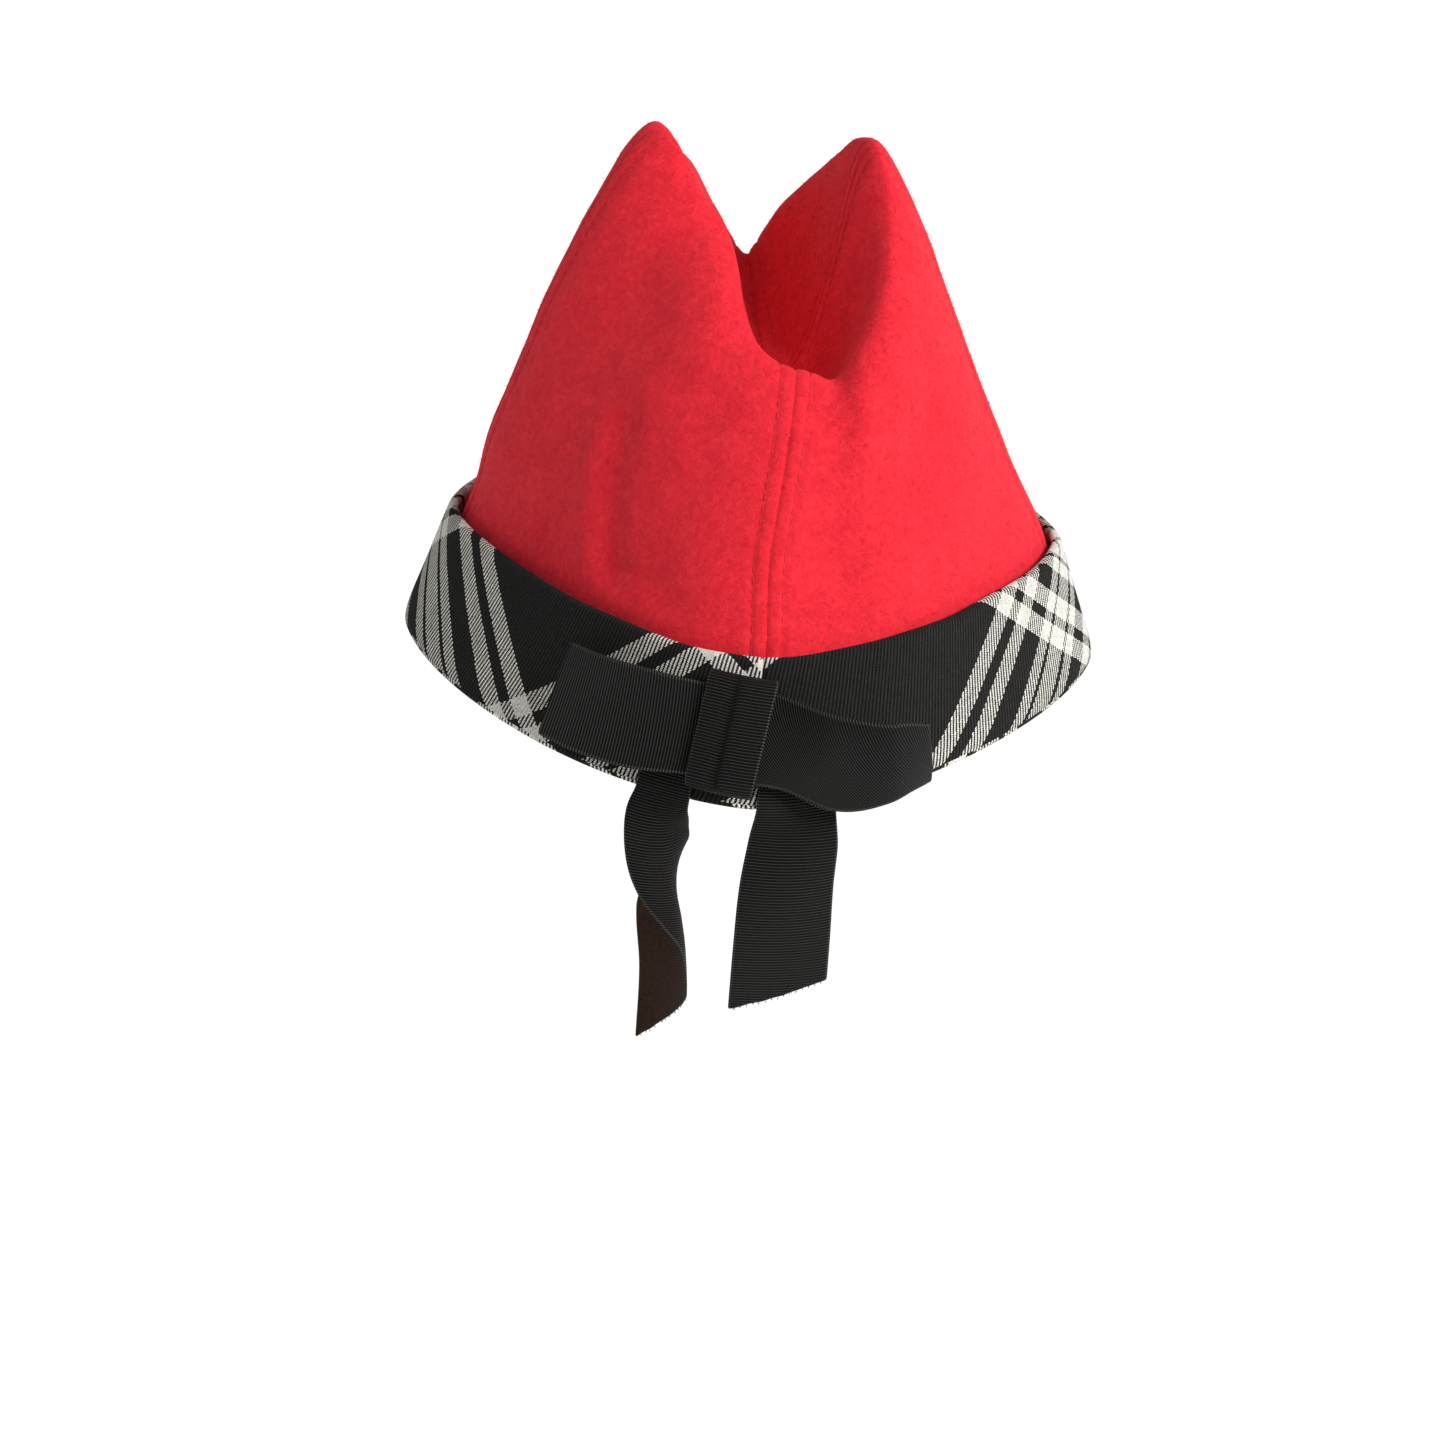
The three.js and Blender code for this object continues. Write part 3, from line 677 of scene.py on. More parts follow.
def cuff_outer_point(azimuth, height):
    return on_azimuth(azimuth, cuff_inner_reach(azimuth, height) + CUFF_THICKNESS, height)


def cuff_section(azimuth):
    """Points up the outside, over the rolled top, down the inside and round the folded lip."""
    radius = CUFF_THICKNESS / 2
    roll_centre = CUFF_HEIGHT - radius
    fold = CUFF_LIP / 2
    points = []
    for i in range(9):
        height = lerp(fold, roll_centre, i / 8)
        points.append((cuff_inner_reach(azimuth, height) + CUFF_THICKNESS, height))
    roll_reach = cuff_inner_reach(azimuth, roll_centre) + radius
    for angle in (45, 90, 135):
        points.append((roll_reach + radius * cosine(angle), roll_centre + radius * sine(angle)))
    for i in range(6, -1, -1):
        height = lerp(CUFF_LIP, roll_centre, i / 6)
        points.append((cuff_inner_reach(azimuth, height), height))
    fold_reach = cuff_inner_reach(azimuth, 0) + CUFF_THICKNESS
    lip_reach = head_radius(0, azimuth)
    points += [
        (lip_reach, CUFF_LIP),
        (lip_reach, fold / 2),
        (lip_reach + fold / 2, 0),
        (fold_reach - fold * 1.4, 0),
        (fold_reach - fold * 0.3, fold * 0.35),
    ]
    return [on_azimuth(azimuth, reach, height) for reach, height in points]


# Extra columns beside the cuff's seam, in degrees
BESIDE_SEAM = (0.25, 0.5, 0.8)


def settle_section(section, turn):
    """Gives the cuff its soft waves, its uneven top edge and the groove of its seam."""
    from_seam = min(turn, 360 - turn)
    groove = -0.55 * math.exp(-((from_seam / 0.35) ** 2))
    settled = []
    for point in section:
        up = smooth(point.z / 14)
        outward = Vector((point.x, point.y, 0)).normalized()
        wave = up * (0.5 * noise.noise(point / 30) + 0.15 * noise.noise(point / 9)) + groove
        uneven = 0.7 * noise.noise(point / 26 + Vector((7, 3, 1)))
        edge = smooth((point.z - 24) / 8) * (uneven + groove)
        settled.append(point + outward * wave + Vector((0, 0, edge)))
    return settled


def bias_strip(side, height):
    """Where a place on the cuff lies on the flat strip, pulled long in front and slack behind."""
    back = 2 * smooth((side / BACK_HALF + 1) / 2) - 1
    return CUFF_STRETCH * side + BACK_SLACK * back, height - BACK_CREEP * back


def cuff_ring(name):
    start = BOW_AZIMUTH + math.degrees(CUFF_SEAM_SIDE / CUFF_SEAM_REACH)
    turns = [360 * i / CUFF_COLUMNS for i in range(CUFF_COLUMNS)]
    turns += [-turn for turn in BESIDE_SEAM] + list(BESIDE_SEAM)
    turns = sorted(turn % 360 for turn in turns)
    sections = [settle_section(cuff_section(start + turn), turn) for turn in turns]
    columns = len(sections)
    count = len(sections[0])
    middle = [section[4] for section in sections]
    steps = [(middle[(i + 1) % columns] - middle[i]).length for i in range(columns)]
    round_length = sum(steps)
    faces = []
    uvs = []
    at = -round_length / 2
    heights = [run_lengths(section + section[:1]) for section in sections]
    for i in range(columns):
        after = at + steps[i]
        n = (i + 1) % columns
        for k in range(count):
            m = (k + 1) % count
            faces.append((i * count + k, n * count + k, n * count + m, i * count + m))
            uvs += [
                bias_strip(at, heights[i][k]),
                bias_strip(after, heights[n][k]),
                bias_strip(after, heights[n][k + 1]),
                bias_strip(at, heights[i][k + 1]),
            ]
        at = after
    piece = lay_mesh(name, [p for section in sections for p in section], faces, uvs)
    soften(piece, 2)
    apply_modifiers(piece)
    return piece


# The ribbon bow

def cuff_frame(side, height):
    """A frame on the cuff's outer surface, at a distance round from the bow's middle."""
    reach = cuff_inner_reach(BOW_AZIMUTH, height) + CUFF_THICKNESS
    azimuth = BOW_AZIMUTH + math.degrees(side / reach)
    origin = cuff_outer_point(azimuth, height)
    along = cuff_outer_point(azimuth + 0.5, height) - cuff_outer_point(azimuth - 0.5, height)
    along.normalize()
    up = cuff_outer_point(azimuth, height + 1) - cuff_outer_point(azimuth, height - 1)
    up.normalize()
    out = along.cross(up).normalized()
    return origin, out.cross(along), out


def ribbon_sheet(name, strands, reverse_slot=0):
    """A ribbon through strands of points, with its width and length as its UV map."""
    columns = len(strands)
    rows = len(strands[0])
    points = [strands[c][r] for r in range(rows) for c in range(columns)]
    along = [run_lengths(strand) for strand in strands]
    faces = grid_faces(rows, columns)
    uvs = []
    for face in faces:
        for corner in face:
            across = (corner % columns) / (columns - 1) * RIBBON_WIDTH
            uvs.append((across, along[corner % columns][corner // columns]))
    piece = lay_mesh(name, points, faces, uvs)
    for _ in range(reverse_slot + 1):
        piece.data.materials.append(None)
    thicken(piece, RIBBON_BODY, 0, reverse_slot)
    soften(piece, 1)
    apply_modifiers(piece)
    return piece


TAIL_LAYER = FIT_GAP + RIBBON_THICKNESS / 2
LOOP_BACK_LAYER = TAIL_LAYER + RIBBON_THICKNESS + 2 * FIT_GAP
LOOP_STEPS = 30
FOLD_STEPS = 8
LOOP_COLUMNS = 13
TAIL_COLUMNS = 17
TAIL_STEPS = 60
KNOT_COLUMNS = 33
CUT_UNEVENNESS = (-0.25, 0.35)
FRAYS_EACH = 2
FRAY_LENGTHS = (0.2, 0.7)
frayed_ends = []


def loop_path(rows, reach):
    """Out along the back layer, round the fold, and back along the front layer."""
    start = LOOP_START / reach

    def layer(along):
        back = LOOP_BACK_LAYER + read(rows, "along", along, "standoff")
        return back, RIBBON_THICKNESS + read(rows, "along", along, "puff")

    out = [lerp(start, 1, i / LOOP_STEPS) for i in range(LOOP_STEPS + 1)]
    path = [(along, layer(along)[0]) for along in out]
    back, gap = layer(1)
    for i in range(1, FOLD_STEPS):
        angle = math.pi * i / FOLD_STEPS
        beyond = math.sin(angle) * gap / 2 / reach
        path.append((1 + beyond, back + gap / 2 - math.cos(angle) * gap / 2))
    path += [(along, sum(layer(along))) for along in reversed(out)]
    return path


def bow_loop(name, rows, reach, direction):
    """One loop of the bow, out to the left for a direction of -1 and to the right for 1."""
    strands = []
    for k in range(LOOP_COLUMNS):
        share = k / (LOOP_COLUMNS - 1) - 0.5
        strand = []
        for along, off in loop_path(rows, reach):
            across = share * RIBBON_WIDTH * read(rows, "along", along, "width")
            slant = read(rows, "along", along, "slant") * (across / RIBBON_WIDTH + 0.5)
            origin, up, out = cuff_frame(direction * (along * reach + slant), BOW_HEIGHT)
            lean = read(rows, "along", along, "lean")
            rise = read(rows, "along", along, "rise")
            lift = up * (rise + across * cosine(lean))
            strand.append(origin + lift + out * (off + across * sine(lean)))
        strands.append(strand)
    return ribbon_sheet(name, strands if direction < 0 else strands[::-1])


def knot_path():
    """Up the knot's length: the height, the stand-off and how much of the pleats shows."""
    back = LOOP_BACK_LAYER - RIBBON_THICKNESS / 2 + FIT_GAP
    inner = LOOP_BACK_LAYER + RIBBON_THICKNESS + LEFT_LOOP["puff"][0] + RIBBON_THICKNESS / 2
    front = inner + FIT_GAP + PLEAT_RAISE + RIBBON_THICKNESS / 2
    half = RIBBON_WIDTH / 2 + FIT_GAP + KNOT_MARGIN + RIBBON_THICKNESS / 2
    radius = front - back
    path = [(half + radius * 0.2, back, 0), (half + radius * 0.1, lerp(back, front, 0.6), 0.5)]
    for i in range(13):
        path.append((lerp(half - radius * 0.3, radius * 0.3 - half, i / 12), front, 1))
    path += [(-half - radius * 0.1, lerp(back, front, 0.6), 0.5), (-half - radius * 0.2, back, 0)]
    return path


def bow_knot(name):
    middle_up = cuff_frame(KNOT_SIDE, BOW_HEIGHT)[1]
    strands = []
    for k in range(KNOT_COLUMNS):
        share = lerp(-1, 1, k / (KNOT_COLUMNS - 1))
        across = share * KNOT_WIDTH / 2
        pleat = (read(KNOT_PLEATS, "across", share, "raise") - 1) * PLEAT_RAISE
        strand = []
        for up, off, shown in knot_path():
            side = KNOT_SIDE + across * cosine(KNOT_TILT) + up * sine(KNOT_TILT)
            origin, _, out = cuff_frame(side, BOW_HEIGHT)
            lift = up * cosine(KNOT_TILT) - across * sine(KNOT_TILT)
            strand.append(origin + middle_up * lift + out * (off + pleat * shown))
        strands.append(strand)
    return ribbon_sheet(name, strands)


def fray_cut(name, strands):
    """Makes a tail's cut uneven and notes where its loose threads stand out."""
    fray = random.Random(name)
    for strand in strands[1:-1]:
        ahead = (strand[-1] - strand[-2]).normalized()
        strand[-1] = strand[-1] + ahead * fray.uniform(*CUT_UNEVENNESS)
        for _ in range(FRAYS_EACH):
            sideways = Vector([fray.uniform(-1, 1) for _ in range(3)])
            stray = (ahead + sideways * 0.35).normalized()
            frayed_ends.append((strand[-1] + sideways * 0.2, stray * fray.uniform(*FRAY_LENGTHS)))


def bow_tail(name, rows, length, cut):
    """A tail that lies on the cuff, then hangs and turns, down to its slanting frayed cut."""
    strands = []
    for k in range(TAIL_COLUMNS):
        share = k / (TAIL_COLUMNS - 1) - 0.5
        strand = []
        for row in range(TAIL_STEPS + 1):
            along = row / TAIL_STEPS * (1 - (abs(cut) / 2 - cut * share) / length)
            side, out_by, turn, cup, gather = (
                read(rows, "along", along, key) for key in ("side", "out", "turn", "cup", "gather")
            )
            cup = max(cup, 1)
            radius = RIBBON_WIDTH * gather / math.radians(cup)
            across = radius * sine(cup * share)
            depth = radius * (cosine(cup * share) - 1)
            sideways = across * cosine(turn) + depth * sine(turn)
            outward = depth * cosine(turn) - across * sine(turn) + TAIL_LAYER + out_by
            height = BOW_HEIGHT - along * length
            laid, _, laid_out = cuff_frame(side + sideways, max(height, CUFF_LIP))
            hung = cuff_frame(side, CUFF_LIP)[0] + Vector((sideways, -outward, 0))
            point = (laid + laid_out * outward).lerp(hung, smooth((CUFF_LIP - height) / TAIL_BLEND))
            point.z += min(height - CUFF_LIP, 0)
            strand.append(point)
        strands.append(strand)
    fray_cut(name, strands)
    return ribbon_sheet(name, strands[::-1], reverse_slot=1)


def frayed_threads(name):
    """One loose end of thread, laid many times along the tails' cuts."""
    frames = []
    for place, reach in frayed_ends:
        wide = reach.cross(Vector((0.3, 1, 0.2))).normalized()
        frames.append((place + reach / 2, reach, wide, reach.cross(wide).normalized()))
    return lay_copies(name, thread_end(4, 0.13, 0.05), frames)


# Camera, light and floor

CAMERA_RIGHT = Vector((0.99844, 0.02534, 0.04974))
CAMERA_UP = Vector((-0.05582, 0.45329, 0.88961))
CAMERA_BACK = Vector((0, -0.89101, 0.45399))
CAMERA_PLACE = Vector((-0.0056, -0.8574, 0.4098))
CAMERA_LENS = 87
SENSOR_WIDTH = 36
ROOM_LIGHT = 0.38
WINDOW_LIGHT = 3.35
WINDOW_SPREAD = 30
WINDOW_SIDE = Vector((0.7, -0.36, 0.62))
FLOOR_HEIGHT = -1.6
FLOOR_SIZE = 60


def photo_camera():
    lens = bpy.data.cameras.new("photo_camera")
    lens.lens = CAMERA_LENS
    lens.sensor_width = SENSOR_WIDTH
    lens.clip_end = 100
    camera = bpy.data.objects.new("photo_camera", lens)
    turned = Matrix((CAMERA_RIGHT, CAMERA_UP, CAMERA_BACK)).transposed()
    camera.matrix_world = Matrix.Translation(CAMERA_PLACE) @ turned.to_4x4()
    bpy.context.scene.collection.objects.link(camera)
    bpy.context.scene.camera = camera


def studio_light():
    scene = bpy.context.scene
    scene.view_settings.view_transform = "Standard"
    world = bpy.data.worlds.new("studio")
    world.use_nodes = True
    background = world.node_tree.nodes["Background"]
    background.inputs["Color"].default_value = (1, 1, 1, 1)
    background.inputs["Strength"].default_value = ROOM_LIGHT
    scene.world = world
    sun = bpy.data.lights.new("soft_window", "SUN")
    sun.energy = WINDOW_LIGHT
    sun.angle = math.radians(WINDOW_SPREAD)
    lamp = bpy.data.objects.new("soft_window", sun)
    lamp.rotation_euler = WINDOW_SIDE.to_track_quat("Z", "Y").to_euler()
    scene.collection.objects.link(lamp)


def pale_floor():
    only_none()
    bpy.ops.mesh.primitive_plane_add(size=FLOOR_SIZE, location=(0, 0, FLOOR_HEIGHT))
    floor = bpy.context.object
    floor.name = "floor"
    material = bpy.data.materials.new("pale_floor")
    material.use_nodes = True
    shader = material.node_tree.nodes["Principled BSDF"]
    shader.inputs["Base Color"].default_value = (1, 1, 1, 1)
    shader.inputs["Roughness"].default_value = 1
    floor.data.materials.append(material)


# Materials

# The cloths' thread widths, the places where the sett starts, and the ribbon's ribs, in metres
THREAD_A = 0.00027
THREAD_B = 0.0004
SETT_START_A = 0.0403
SETT_START_B = 0.0566
STRAY_THREAD = 0.0004
RIB_PITCH = 0.00078
SELVEDGE_WIDTH = 0.0007

# One repeat of the tartan's stripes, in millimetres
SETT = table(
    "width cream",
    (47.8, 0),
    (5, 1),
    (3, 0),
    (5, 1),
    (6.2, 0),
    (3.6, 1),
    (1.2, 0),
    (5.8, 1),
    (1.2, 0),
    (3.6, 1),
    (6.2, 0),
    (5, 1),
    (3, 0),
    (5, 1),
)


def new_material(name):
    material = bpy.data.materials.new(name)
    material.use_nodes = True
    return material, material.node_tree, material.node_tree.nodes["Principled BSDF"]


def new_group(name, inputs, outputs):
    """An effect for several materials: a group with named float inputs and outputs."""
    tree = bpy.data.node_groups.new(name, "ShaderNodeTree")
    for label in inputs:
        tree.interface.new_socket(label, in_out="INPUT", socket_type="NodeSocketFloat")
    for label in outputs:
        tree.interface.new_socket(label, in_out="OUTPUT", socket_type="NodeSocketFloat")
    values = tree.nodes.new("NodeGroupInput").outputs
    return tree, values, tree.nodes.new("NodeGroupOutput").inputs


def use_group(tree, group, **values):
    node = tree.nodes.new("ShaderNodeGroup")
    node.node_tree = group
    for label, value in values.items():
        plug(tree, value, node.inputs[label])
    return node.outputs


def plug(tree, value, socket):
    """A number is set on the socket and another node's output is linked to it."""
    if isinstance(value, bpy.types.NodeSocket):
        tree.links.new(value, socket)
    else:
        socket.default_value = value


def sum_of(tree, operation, *values):
    node = tree.nodes.new("ShaderNodeMath")
    node.operation = operation
    for value, socket in zip(values, node.inputs):
        plug(tree, value, socket)
    return node.outputs[0]


def rescale(tree, value, low, high):
    """A value from 0 to 1 spread from low to high."""
    return sum_of(tree, "MULTIPLY_ADD", value, high - low, low)


def choose(tree, share, without, with_it):
    """The first value where share is 0 and the second where it is 1."""
    mix = tree.nodes.new("ShaderNodeMix")
    plug(tree, share, mix.inputs["Factor"])
    plug(tree, without, mix.inputs["A"])
    plug(tree, with_it, mix.inputs["B"])
    return mix.outputs["Result"]


def fibres(tree, scale, detail=3, roughness=0.6, distortion=0):
    """Noise on the object's own coordinates, with its scale in grains a metre."""
    place = tree.nodes.new("ShaderNodeTexCoord")
    grain = tree.nodes.new("ShaderNodeTexNoise")
    grain.inputs["Scale"].default_value = scale
    grain.inputs["Detail"].default_value = detail
    grain.inputs["Roughness"].default_value = roughness
    grain.inputs["Distortion"].default_value = distortion
    tree.links.new(place.outputs["Object"], grain.inputs["Vector"])
    return grain.outputs


def cloth_map(tree):
    """The piece's own map in metres, as two numbers."""
    place = tree.nodes.new("ShaderNodeUVMap")
    place.uv_map = "cloth"
    split = tree.nodes.new("ShaderNodeSeparateXYZ")
    tree.links.new(place.outputs["UV"], split.inputs["Vector"])
    return split.outputs["X"], split.outputs["Y"]


def shades(tree, value, *stops):
    """A ramp from colour to colour."""
    ramp = tree.nodes.new("ShaderNodeValToRGB")
    while len(ramp.color_ramp.elements) < len(stops):
        ramp.color_ramp.elements.new(1)
    for element, (at, colour) in zip(ramp.color_ramp.elements, stops):
        element.position = at
        element.color = (*colour, 1)
    tree.links.new(value, ramp.inputs["Fac"])
    return ramp.outputs["Color"]


def darken(tree, colour, by):
    mix = tree.nodes.new("ShaderNodeVectorMath")
    mix.operation = "SCALE"
    tree.links.new(colour, mix.inputs["Vector"])
    plug(tree, by, mix.inputs["Scale"])
    return mix.outputs["Vector"]


def raise_relief(tree, shader, height, distance, strength=1):
    bump = tree.nodes.new("ShaderNodeBump")
    bump.inputs["Distance"].default_value = distance
    bump.inputs["Strength"].default_value = strength
    tree.links.new(height, bump.inputs["Height"])
    tree.links.new(bump.outputs["Normal"], shader.inputs["Normal"])


def wool_nap():
    """Matted wool: its slow mottling, and the height of its clumps and single fibres."""
    tree, _, out = new_group("wool_nap", (), ("Mottle", "Height"))
    patches = fibres(tree, 160, 2)["Fac"]
    clumps = fibres(tree, 520, 3, 0.65, 0.6)["Fac"]
    hairs = fibres(tree, 2100, 4, 0.75, 1.5)["Fac"]
    mottle = sum_of(tree, "MULTIPLY_ADD", patches, 0.15, sum_of(tree, "MULTIPLY", clumps, 0.35))
    tree.links.new(sum_of(tree, "MULTIPLY_ADD", hairs, 0.5, mottle), out["Mottle"])
    clump_height = sum_of(tree, "MULTIPLY", clumps, 0.6)
    tree.links.new(sum_of(tree, "MULTIPLY_ADD", hairs, 0.4, clump_height), out["Height"])
    return tree


def ribbon_ribs():
    """Grosgrain: round ribs across the ribbon, fine threads between them and a firm selvedge."""
    tree, values, out = new_group("ribbon_ribs", ("Pitch",), ("Rib", "Selvedge", "Fleck"))
    across, along = cloth_map(tree)
    turns = sum_of(tree, "DIVIDE", along, values["Pitch"])
    wave = sum_of(tree, "COSINE", sum_of(tree, "MULTIPLY", turns, 2 * math.pi))
    tree.links.new(rescale(tree, wave, 0.5, 1), out["Rib"])
    middle = sum_of(tree, "ABSOLUTE", sum_of(tree, "SUBTRACT", across, RIBBON_WIDTH * MM / 2))
    inside = RIBBON_WIDTH * MM / 2 - SELVEDGE_WIDTH
    tree.links.new(sum_of(tree, "GREATER_THAN", middle, inside), out["Selvedge"])
    tree.links.new(fibres(tree, 2600, 3, 0.7)["Fac"], out["Fleck"])
    return tree


def tartan_stripes():
    """1 where a thread at this place in the sett is cream, and 0 where it is black."""
    tree, values, out = new_group("tartan_stripes", ("Place",), ("Cream",))
    repeat = sum(SETT["width"])
    share = sum_of(tree, "FRACT", sum_of(tree, "DIVIDE", values["Place"], repeat * MM))
    ramp = tree.nodes.new("ShaderNodeValToRGB")
    ramp.color_ramp.interpolation = "CONSTANT"
    at = 0
    for i, (width, cream) in enumerate(zip(SETT["width"], SETT["cream"])):
        stop = ramp.color_ramp.elements[0] if i == 0 else ramp.color_ramp.elements.new(at / repeat)
        stop.color = (cream, cream, cream, 1)
        at += width
    ramp.color_ramp.elements.remove(ramp.color_ramp.elements[-1])
    tree.links.new(share, ramp.inputs["Fac"])
    tree.links.new(ramp.outputs["Color"], out["Cream"])
    return tree


def red_wool(nap):
    material, tree, shader = new_material("red_wool")
    wool = use_group(tree, nap)
    colour = shades(
        tree,
        wool["Mottle"],
        (0.36, (0.6, 0.002, 0.014)),
        (0.5, (0.78, 0.008, 0.024)),
        (0.64, (0.95, 0.024, 0.04)),
    )
    tree.links.new(colour, shader.inputs["Base Color"])
    shader.inputs["Roughness"].default_value = 0.95
    shader.inputs["Specular IOR Level"].default_value = 0.5
    shader.inputs["Sheen Weight"].default_value = 0.1
    shader.inputs["Sheen Roughness"].default_value = 0.4
    shader.inputs["Sheen Tint"].default_value = (1, 0.45, 0.45, 1)
    raise_relief(tree, shader, wool["Height"], 0.0007, 0.8)
    return material


def tartan_wool(nap, stripes):
    """Twill woven two over and two under, with the same sett both ways and cut on the bias."""
    material, tree, shader = new_material("tartan_wool")
    u, v = cloth_map(tree)
    stray = rescale(tree, fibres(tree, 700, 3)["Fac"], -STRAY_THREAD, STRAY_THREAD)
    half_turn = math.sqrt(0.5)
    rising = sum_of(tree, "MULTIPLY", sum_of(tree, "SUBTRACT", v, u), half_turn)
    falling = sum_of(tree, "MULTIPLY", sum_of(tree, "ADD", v, u), half_turn)
    count_a = sum_of(tree, "DIVIDE", sum_of(tree, "ADD", rising, stray), THREAD_A)
    count_b = sum_of(tree, "DIVIDE", sum_of(tree, "ADD", falling, stray), THREAD_B)
    thread_a = sum_of(tree, "FLOOR", count_a)
    thread_b = sum_of(tree, "FLOOR", count_b)
    repeats = 10 * sum(SETT["width"]) * MM
    place_a = sum_of(tree, "MULTIPLY_ADD", thread_a, THREAD_A, repeats + SETT_START_A)
    place_b = sum_of(tree, "MULTIPLY_ADD", thread_b, THREAD_B, repeats + SETT_START_B)
    cream_a = use_group(tree, stripes, Place=place_a)
    cream_b = use_group(tree, stripes, Place=place_b)
    lag = sum_of(tree, "FLOORED_MODULO", sum_of(tree, "SUBTRACT", thread_b, thread_a), 4)
    a_on_top = sum_of(tree, "LESS_THAN", lag, 1.5)
    across = choose(tree, a_on_top, sum_of(tree, "FRACT", count_b), sum_of(tree, "FRACT", count_a))
    both_sides = sum_of(tree, "MULTIPLY", across, sum_of(tree, "SUBTRACT", 1, across))
    bow_out = sum_of(tree, "MULTIPLY", both_sides, 4)
    cream = choose(tree, a_on_top, cream_b["Cream"], cream_a["Cream"])
    wool = use_group(tree, nap)
    colour = shades(tree, cream, (0, (0.0095, 0.0092, 0.0084)), (1, (0.93, 0.9, 0.82)))
    # Painted light on the threads: each thread is painted darker towards its edges and lighter
    # along its middle, a painted shade of its round form. Black where the rising threads lie on top
    # is painted 3.2 times lighter, and where the falling threads lie on top 0.7 times, a painted
    # gleam along the twill lines. The wool's mottle is the cloth's own uneven tone.
    black_gleam = choose(tree, cream, choose(tree, a_on_top, 0.7, 3.2), 1)
    rounding = sum_of(tree, "MULTIPLY", rescale(tree, bow_out, 0.36, 1.24), black_gleam)
    shade = sum_of(tree, "MULTIPLY", rounding, rescale(tree, wool["Mottle"], 0.1, 1.95))
    tree.links.new(darken(tree, colour, shade), shader.inputs["Base Color"])
    shader.inputs["Roughness"].default_value = 0.92
    shader.inputs["Specular IOR Level"].default_value = 0.06
    shader.inputs["Sheen Weight"].default_value = 0.03
    shader.inputs["Sheen Roughness"].default_value = 0.5
    height = sum_of(tree, "MULTIPLY_ADD", wool["Height"], 0.8, bow_out)
    raise_relief(tree, shader, height, 0.0003, 0.9)
    return material


def black_grosgrain(ribs):
    material, tree, shader = new_material("black_grosgrain")
    ribbon = use_group(tree, ribs, Pitch=RIB_PITCH)
    # The ribs are painted from almost black in their hollows to lighter along their tops: painted
    # shade in the hollows and a painted highlight on the tops, besides the ribs' bump.
    colour = shades(
        tree,
        ribbon["Rib"],
        (0, (0.001, 0.001, 0.001)),
        (0.55, (0.004, 0.0039, 0.0035)),
        (1, (0.032, 0.031, 0.0278)),
    )
    fleck = rescale(tree, ribbon["Fleck"], 0.6, 1.4)
    # The selvedge is painted 2.4 times lighter, a painted highlight along the ribbon's edges. The
    # fleck is the ribbon's own uneven tone.
    shade = choose(tree, ribbon["Selvedge"], fleck, sum_of(tree, "MULTIPLY", fleck, 2.4))
    tree.links.new(darken(tree, colour, shade), shader.inputs["Base Color"])
    shader.inputs["Roughness"].default_value = 0.6
    shader.inputs["Specular IOR Level"].default_value = 0.12
    height = choose(tree, ribbon["Selvedge"], ribbon["Rib"], 0.85)
    raise_relief(tree, shader, height, 0.0004, 1)
    return material


def red_thread():
    material, tree, shader = new_material("red_thread")
    grain = fibres(tree, 3000, 2)["Fac"]
    colour = shades(tree, grain, (0.3, (0.4, 0.002, 0.01)), (0.7, (0.62, 0.008, 0.02)))
    tree.links.new(colour, shader.inputs["Base Color"])
    shader.inputs["Roughness"].default_value = 0.7
    return material


def grosgrain_thread():
    material, tree, shader = new_material("grosgrain_thread")
    grain = fibres(tree, 900, 2)["Fac"]
    colour = shades(tree, grain, (0.35, (0.008, 0.007, 0.006)), (0.7, (0.05, 0.04, 0.03)))
    tree.links.new(colour, shader.inputs["Base Color"])
    shader.inputs["Roughness"].default_value = 0.7
    return material


def brown_reverse(ribs):
    """The ribbon's other face, smoother and browner, with only faint ribs."""
    material, tree, shader = new_material("brown_reverse")
    ribbon = use_group(tree, ribs, Pitch=RIB_PITCH)
    colour = shades(
        tree, ribbon["Fleck"], (0.35, (0.009, 0.0045, 0.002)), (0.65, (0.045, 0.021, 0.008))
    )
    tree.links.new(colour, shader.inputs["Base Color"])
    shader.inputs["Roughness"].default_value = 0.75
    shader.inputs["Specular IOR Level"].default_value = 0.1
    raise_relief(tree, shader, ribbon["Rib"], 0.00012, 0.6)
    return material


# Putting the hat together

photo_camera()
studio_light()
pale_floor()

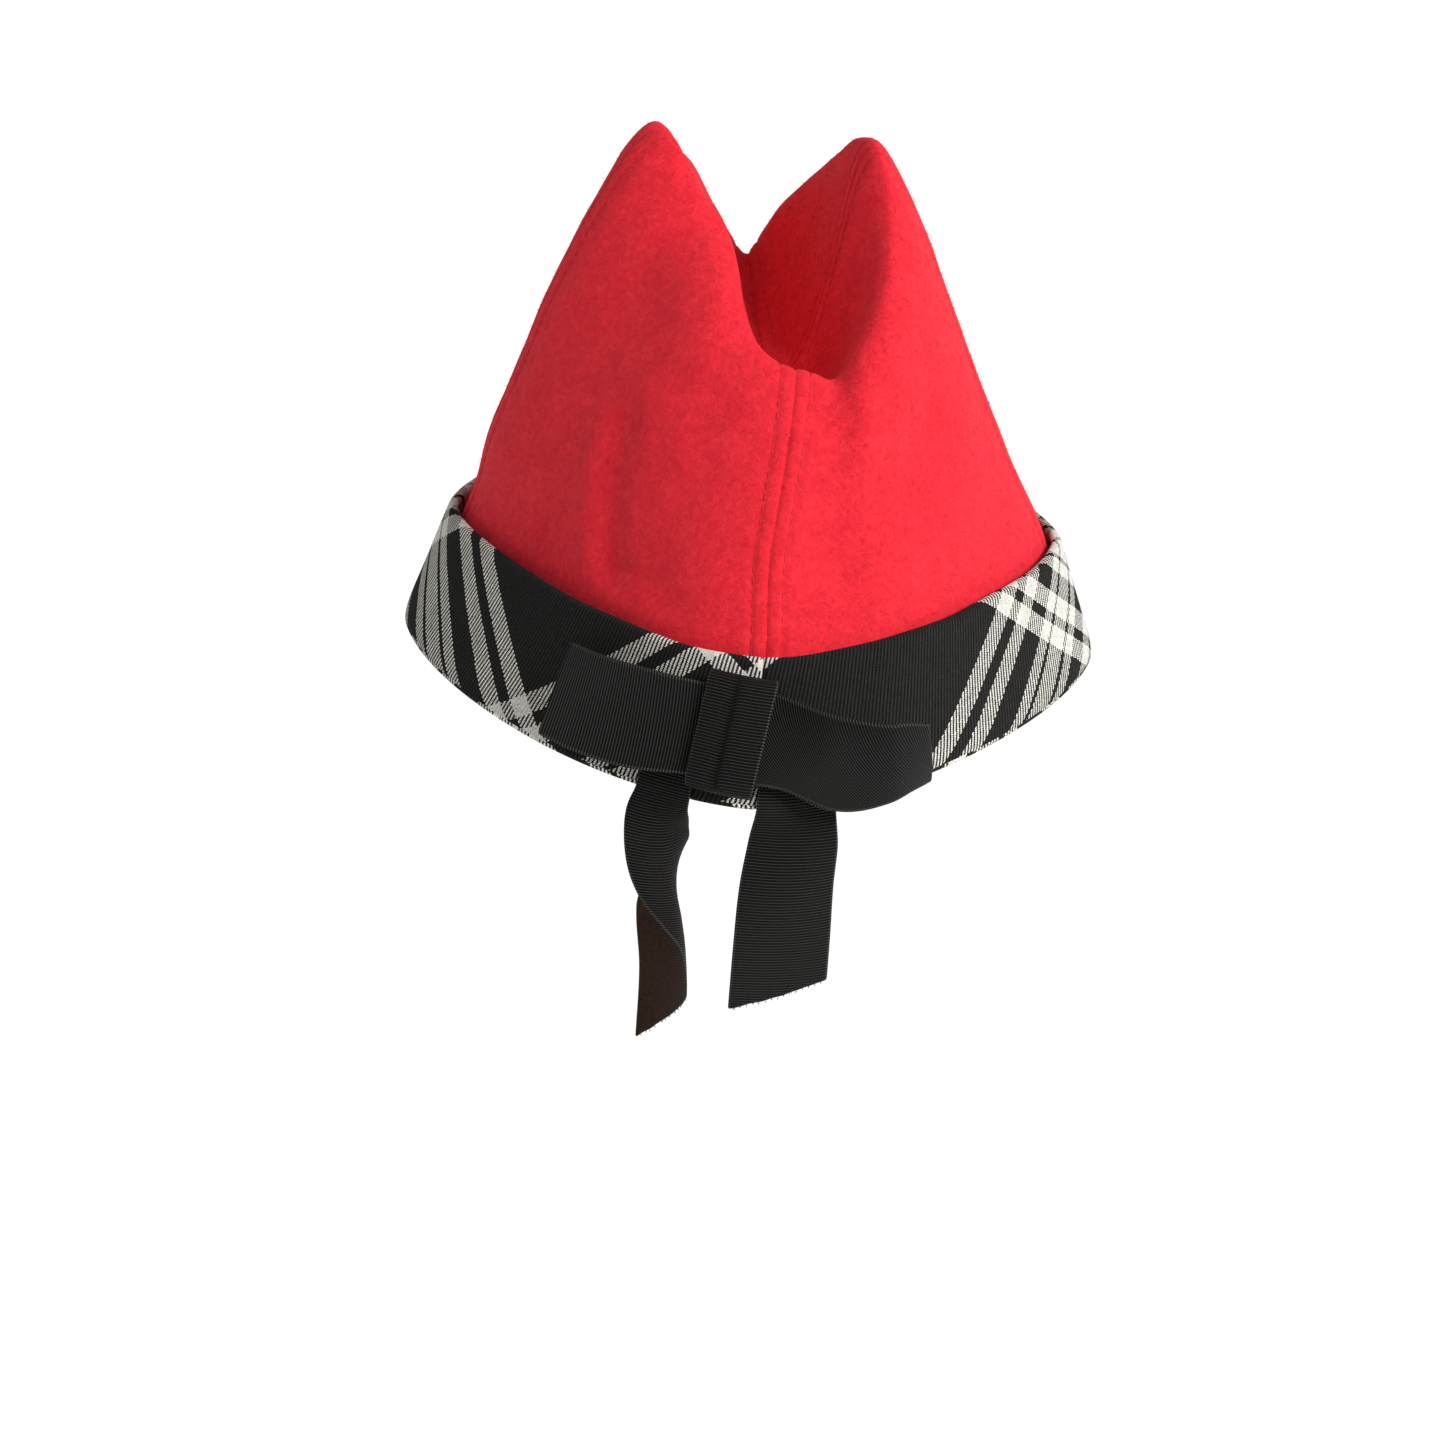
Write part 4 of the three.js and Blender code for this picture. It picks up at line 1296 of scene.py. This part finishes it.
nap = wool_nap()
ribs = ribbon_ribs()
wool = red_wool(nap)
tartan = tartan_wool(nap, tartan_stripes())
grosgrain = black_grosgrain(ribs)
reverse = brown_reverse(ribs)


def finish_piece(piece, node, slot, *materials):
    """Gives a piece its materials and its place in the frame, and hides the frame's part that it
    replaces; the slot argument is not used.
    """
    for number, material in enumerate(materials):
        if number < len(piece.data.materials):
            piece.data.materials[number] = material
        else:
            piece.data.materials.append(material)
    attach(piece, "root")
    if node:
        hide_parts(node)


for panel, start, end in (
    ("crown_panel_bow_right", SEAM_BOW, SEAM_RIGHT + 360),
    ("crown_panel_far_right", SEAM_RIGHT, SEAM_BACK),
    ("crown_panel_far_left", SEAM_BACK, SEAM_LEFT),
    ("crown_panel_bow_left", SEAM_LEFT, SEAM_BOW),
):
    finish_piece(crown_panel("wool_" + panel, start, end), panel, "red_wool", wool)

finish_piece(topstitches("topstitches"), None, "red_wool", red_thread())
finish_piece(wool_fuzz("wool_fuzz"), None, "red_wool", wool)
finish_piece(cuff_ring("tartan_cuff"), "cuff", "tartan_wool", tartan)

for loop, rows, reach, direction, length in (
    ("bow_loop_left", LEFT_LOOP, LEFT_LOOP_REACH, -1, LEFT_LOOP_LENGTH),
    ("bow_loop_right", RIGHT_LOOP, RIGHT_LOOP_REACH, 1, RIGHT_LOOP_LENGTH),
):
    ribbon = bow_loop("ribbon_" + loop, rows, reach, direction)
    finish_piece(ribbon, loop, "black_grosgrain", grosgrain)

finish_piece(bow_knot("ribbon_bow_knot"), "bow_knot", "black_grosgrain", grosgrain)

for tail, rows, length, cut in (
    ("bow_tail_left", LEFT_TAIL, LEFT_TAIL_LENGTH, LEFT_TAIL_CUT),
    ("bow_tail_right", RIGHT_TAIL, RIGHT_TAIL_LENGTH, -RIGHT_TAIL_CUT),
):
    ribbon = bow_tail("ribbon_" + tail, rows, length, cut)
    finish_piece(ribbon, tail, "black_grosgrain", grosgrain, reverse)

finish_piece(frayed_threads("frayed_tail_ends"), None, "black_grosgrain", grosgrain_thread())
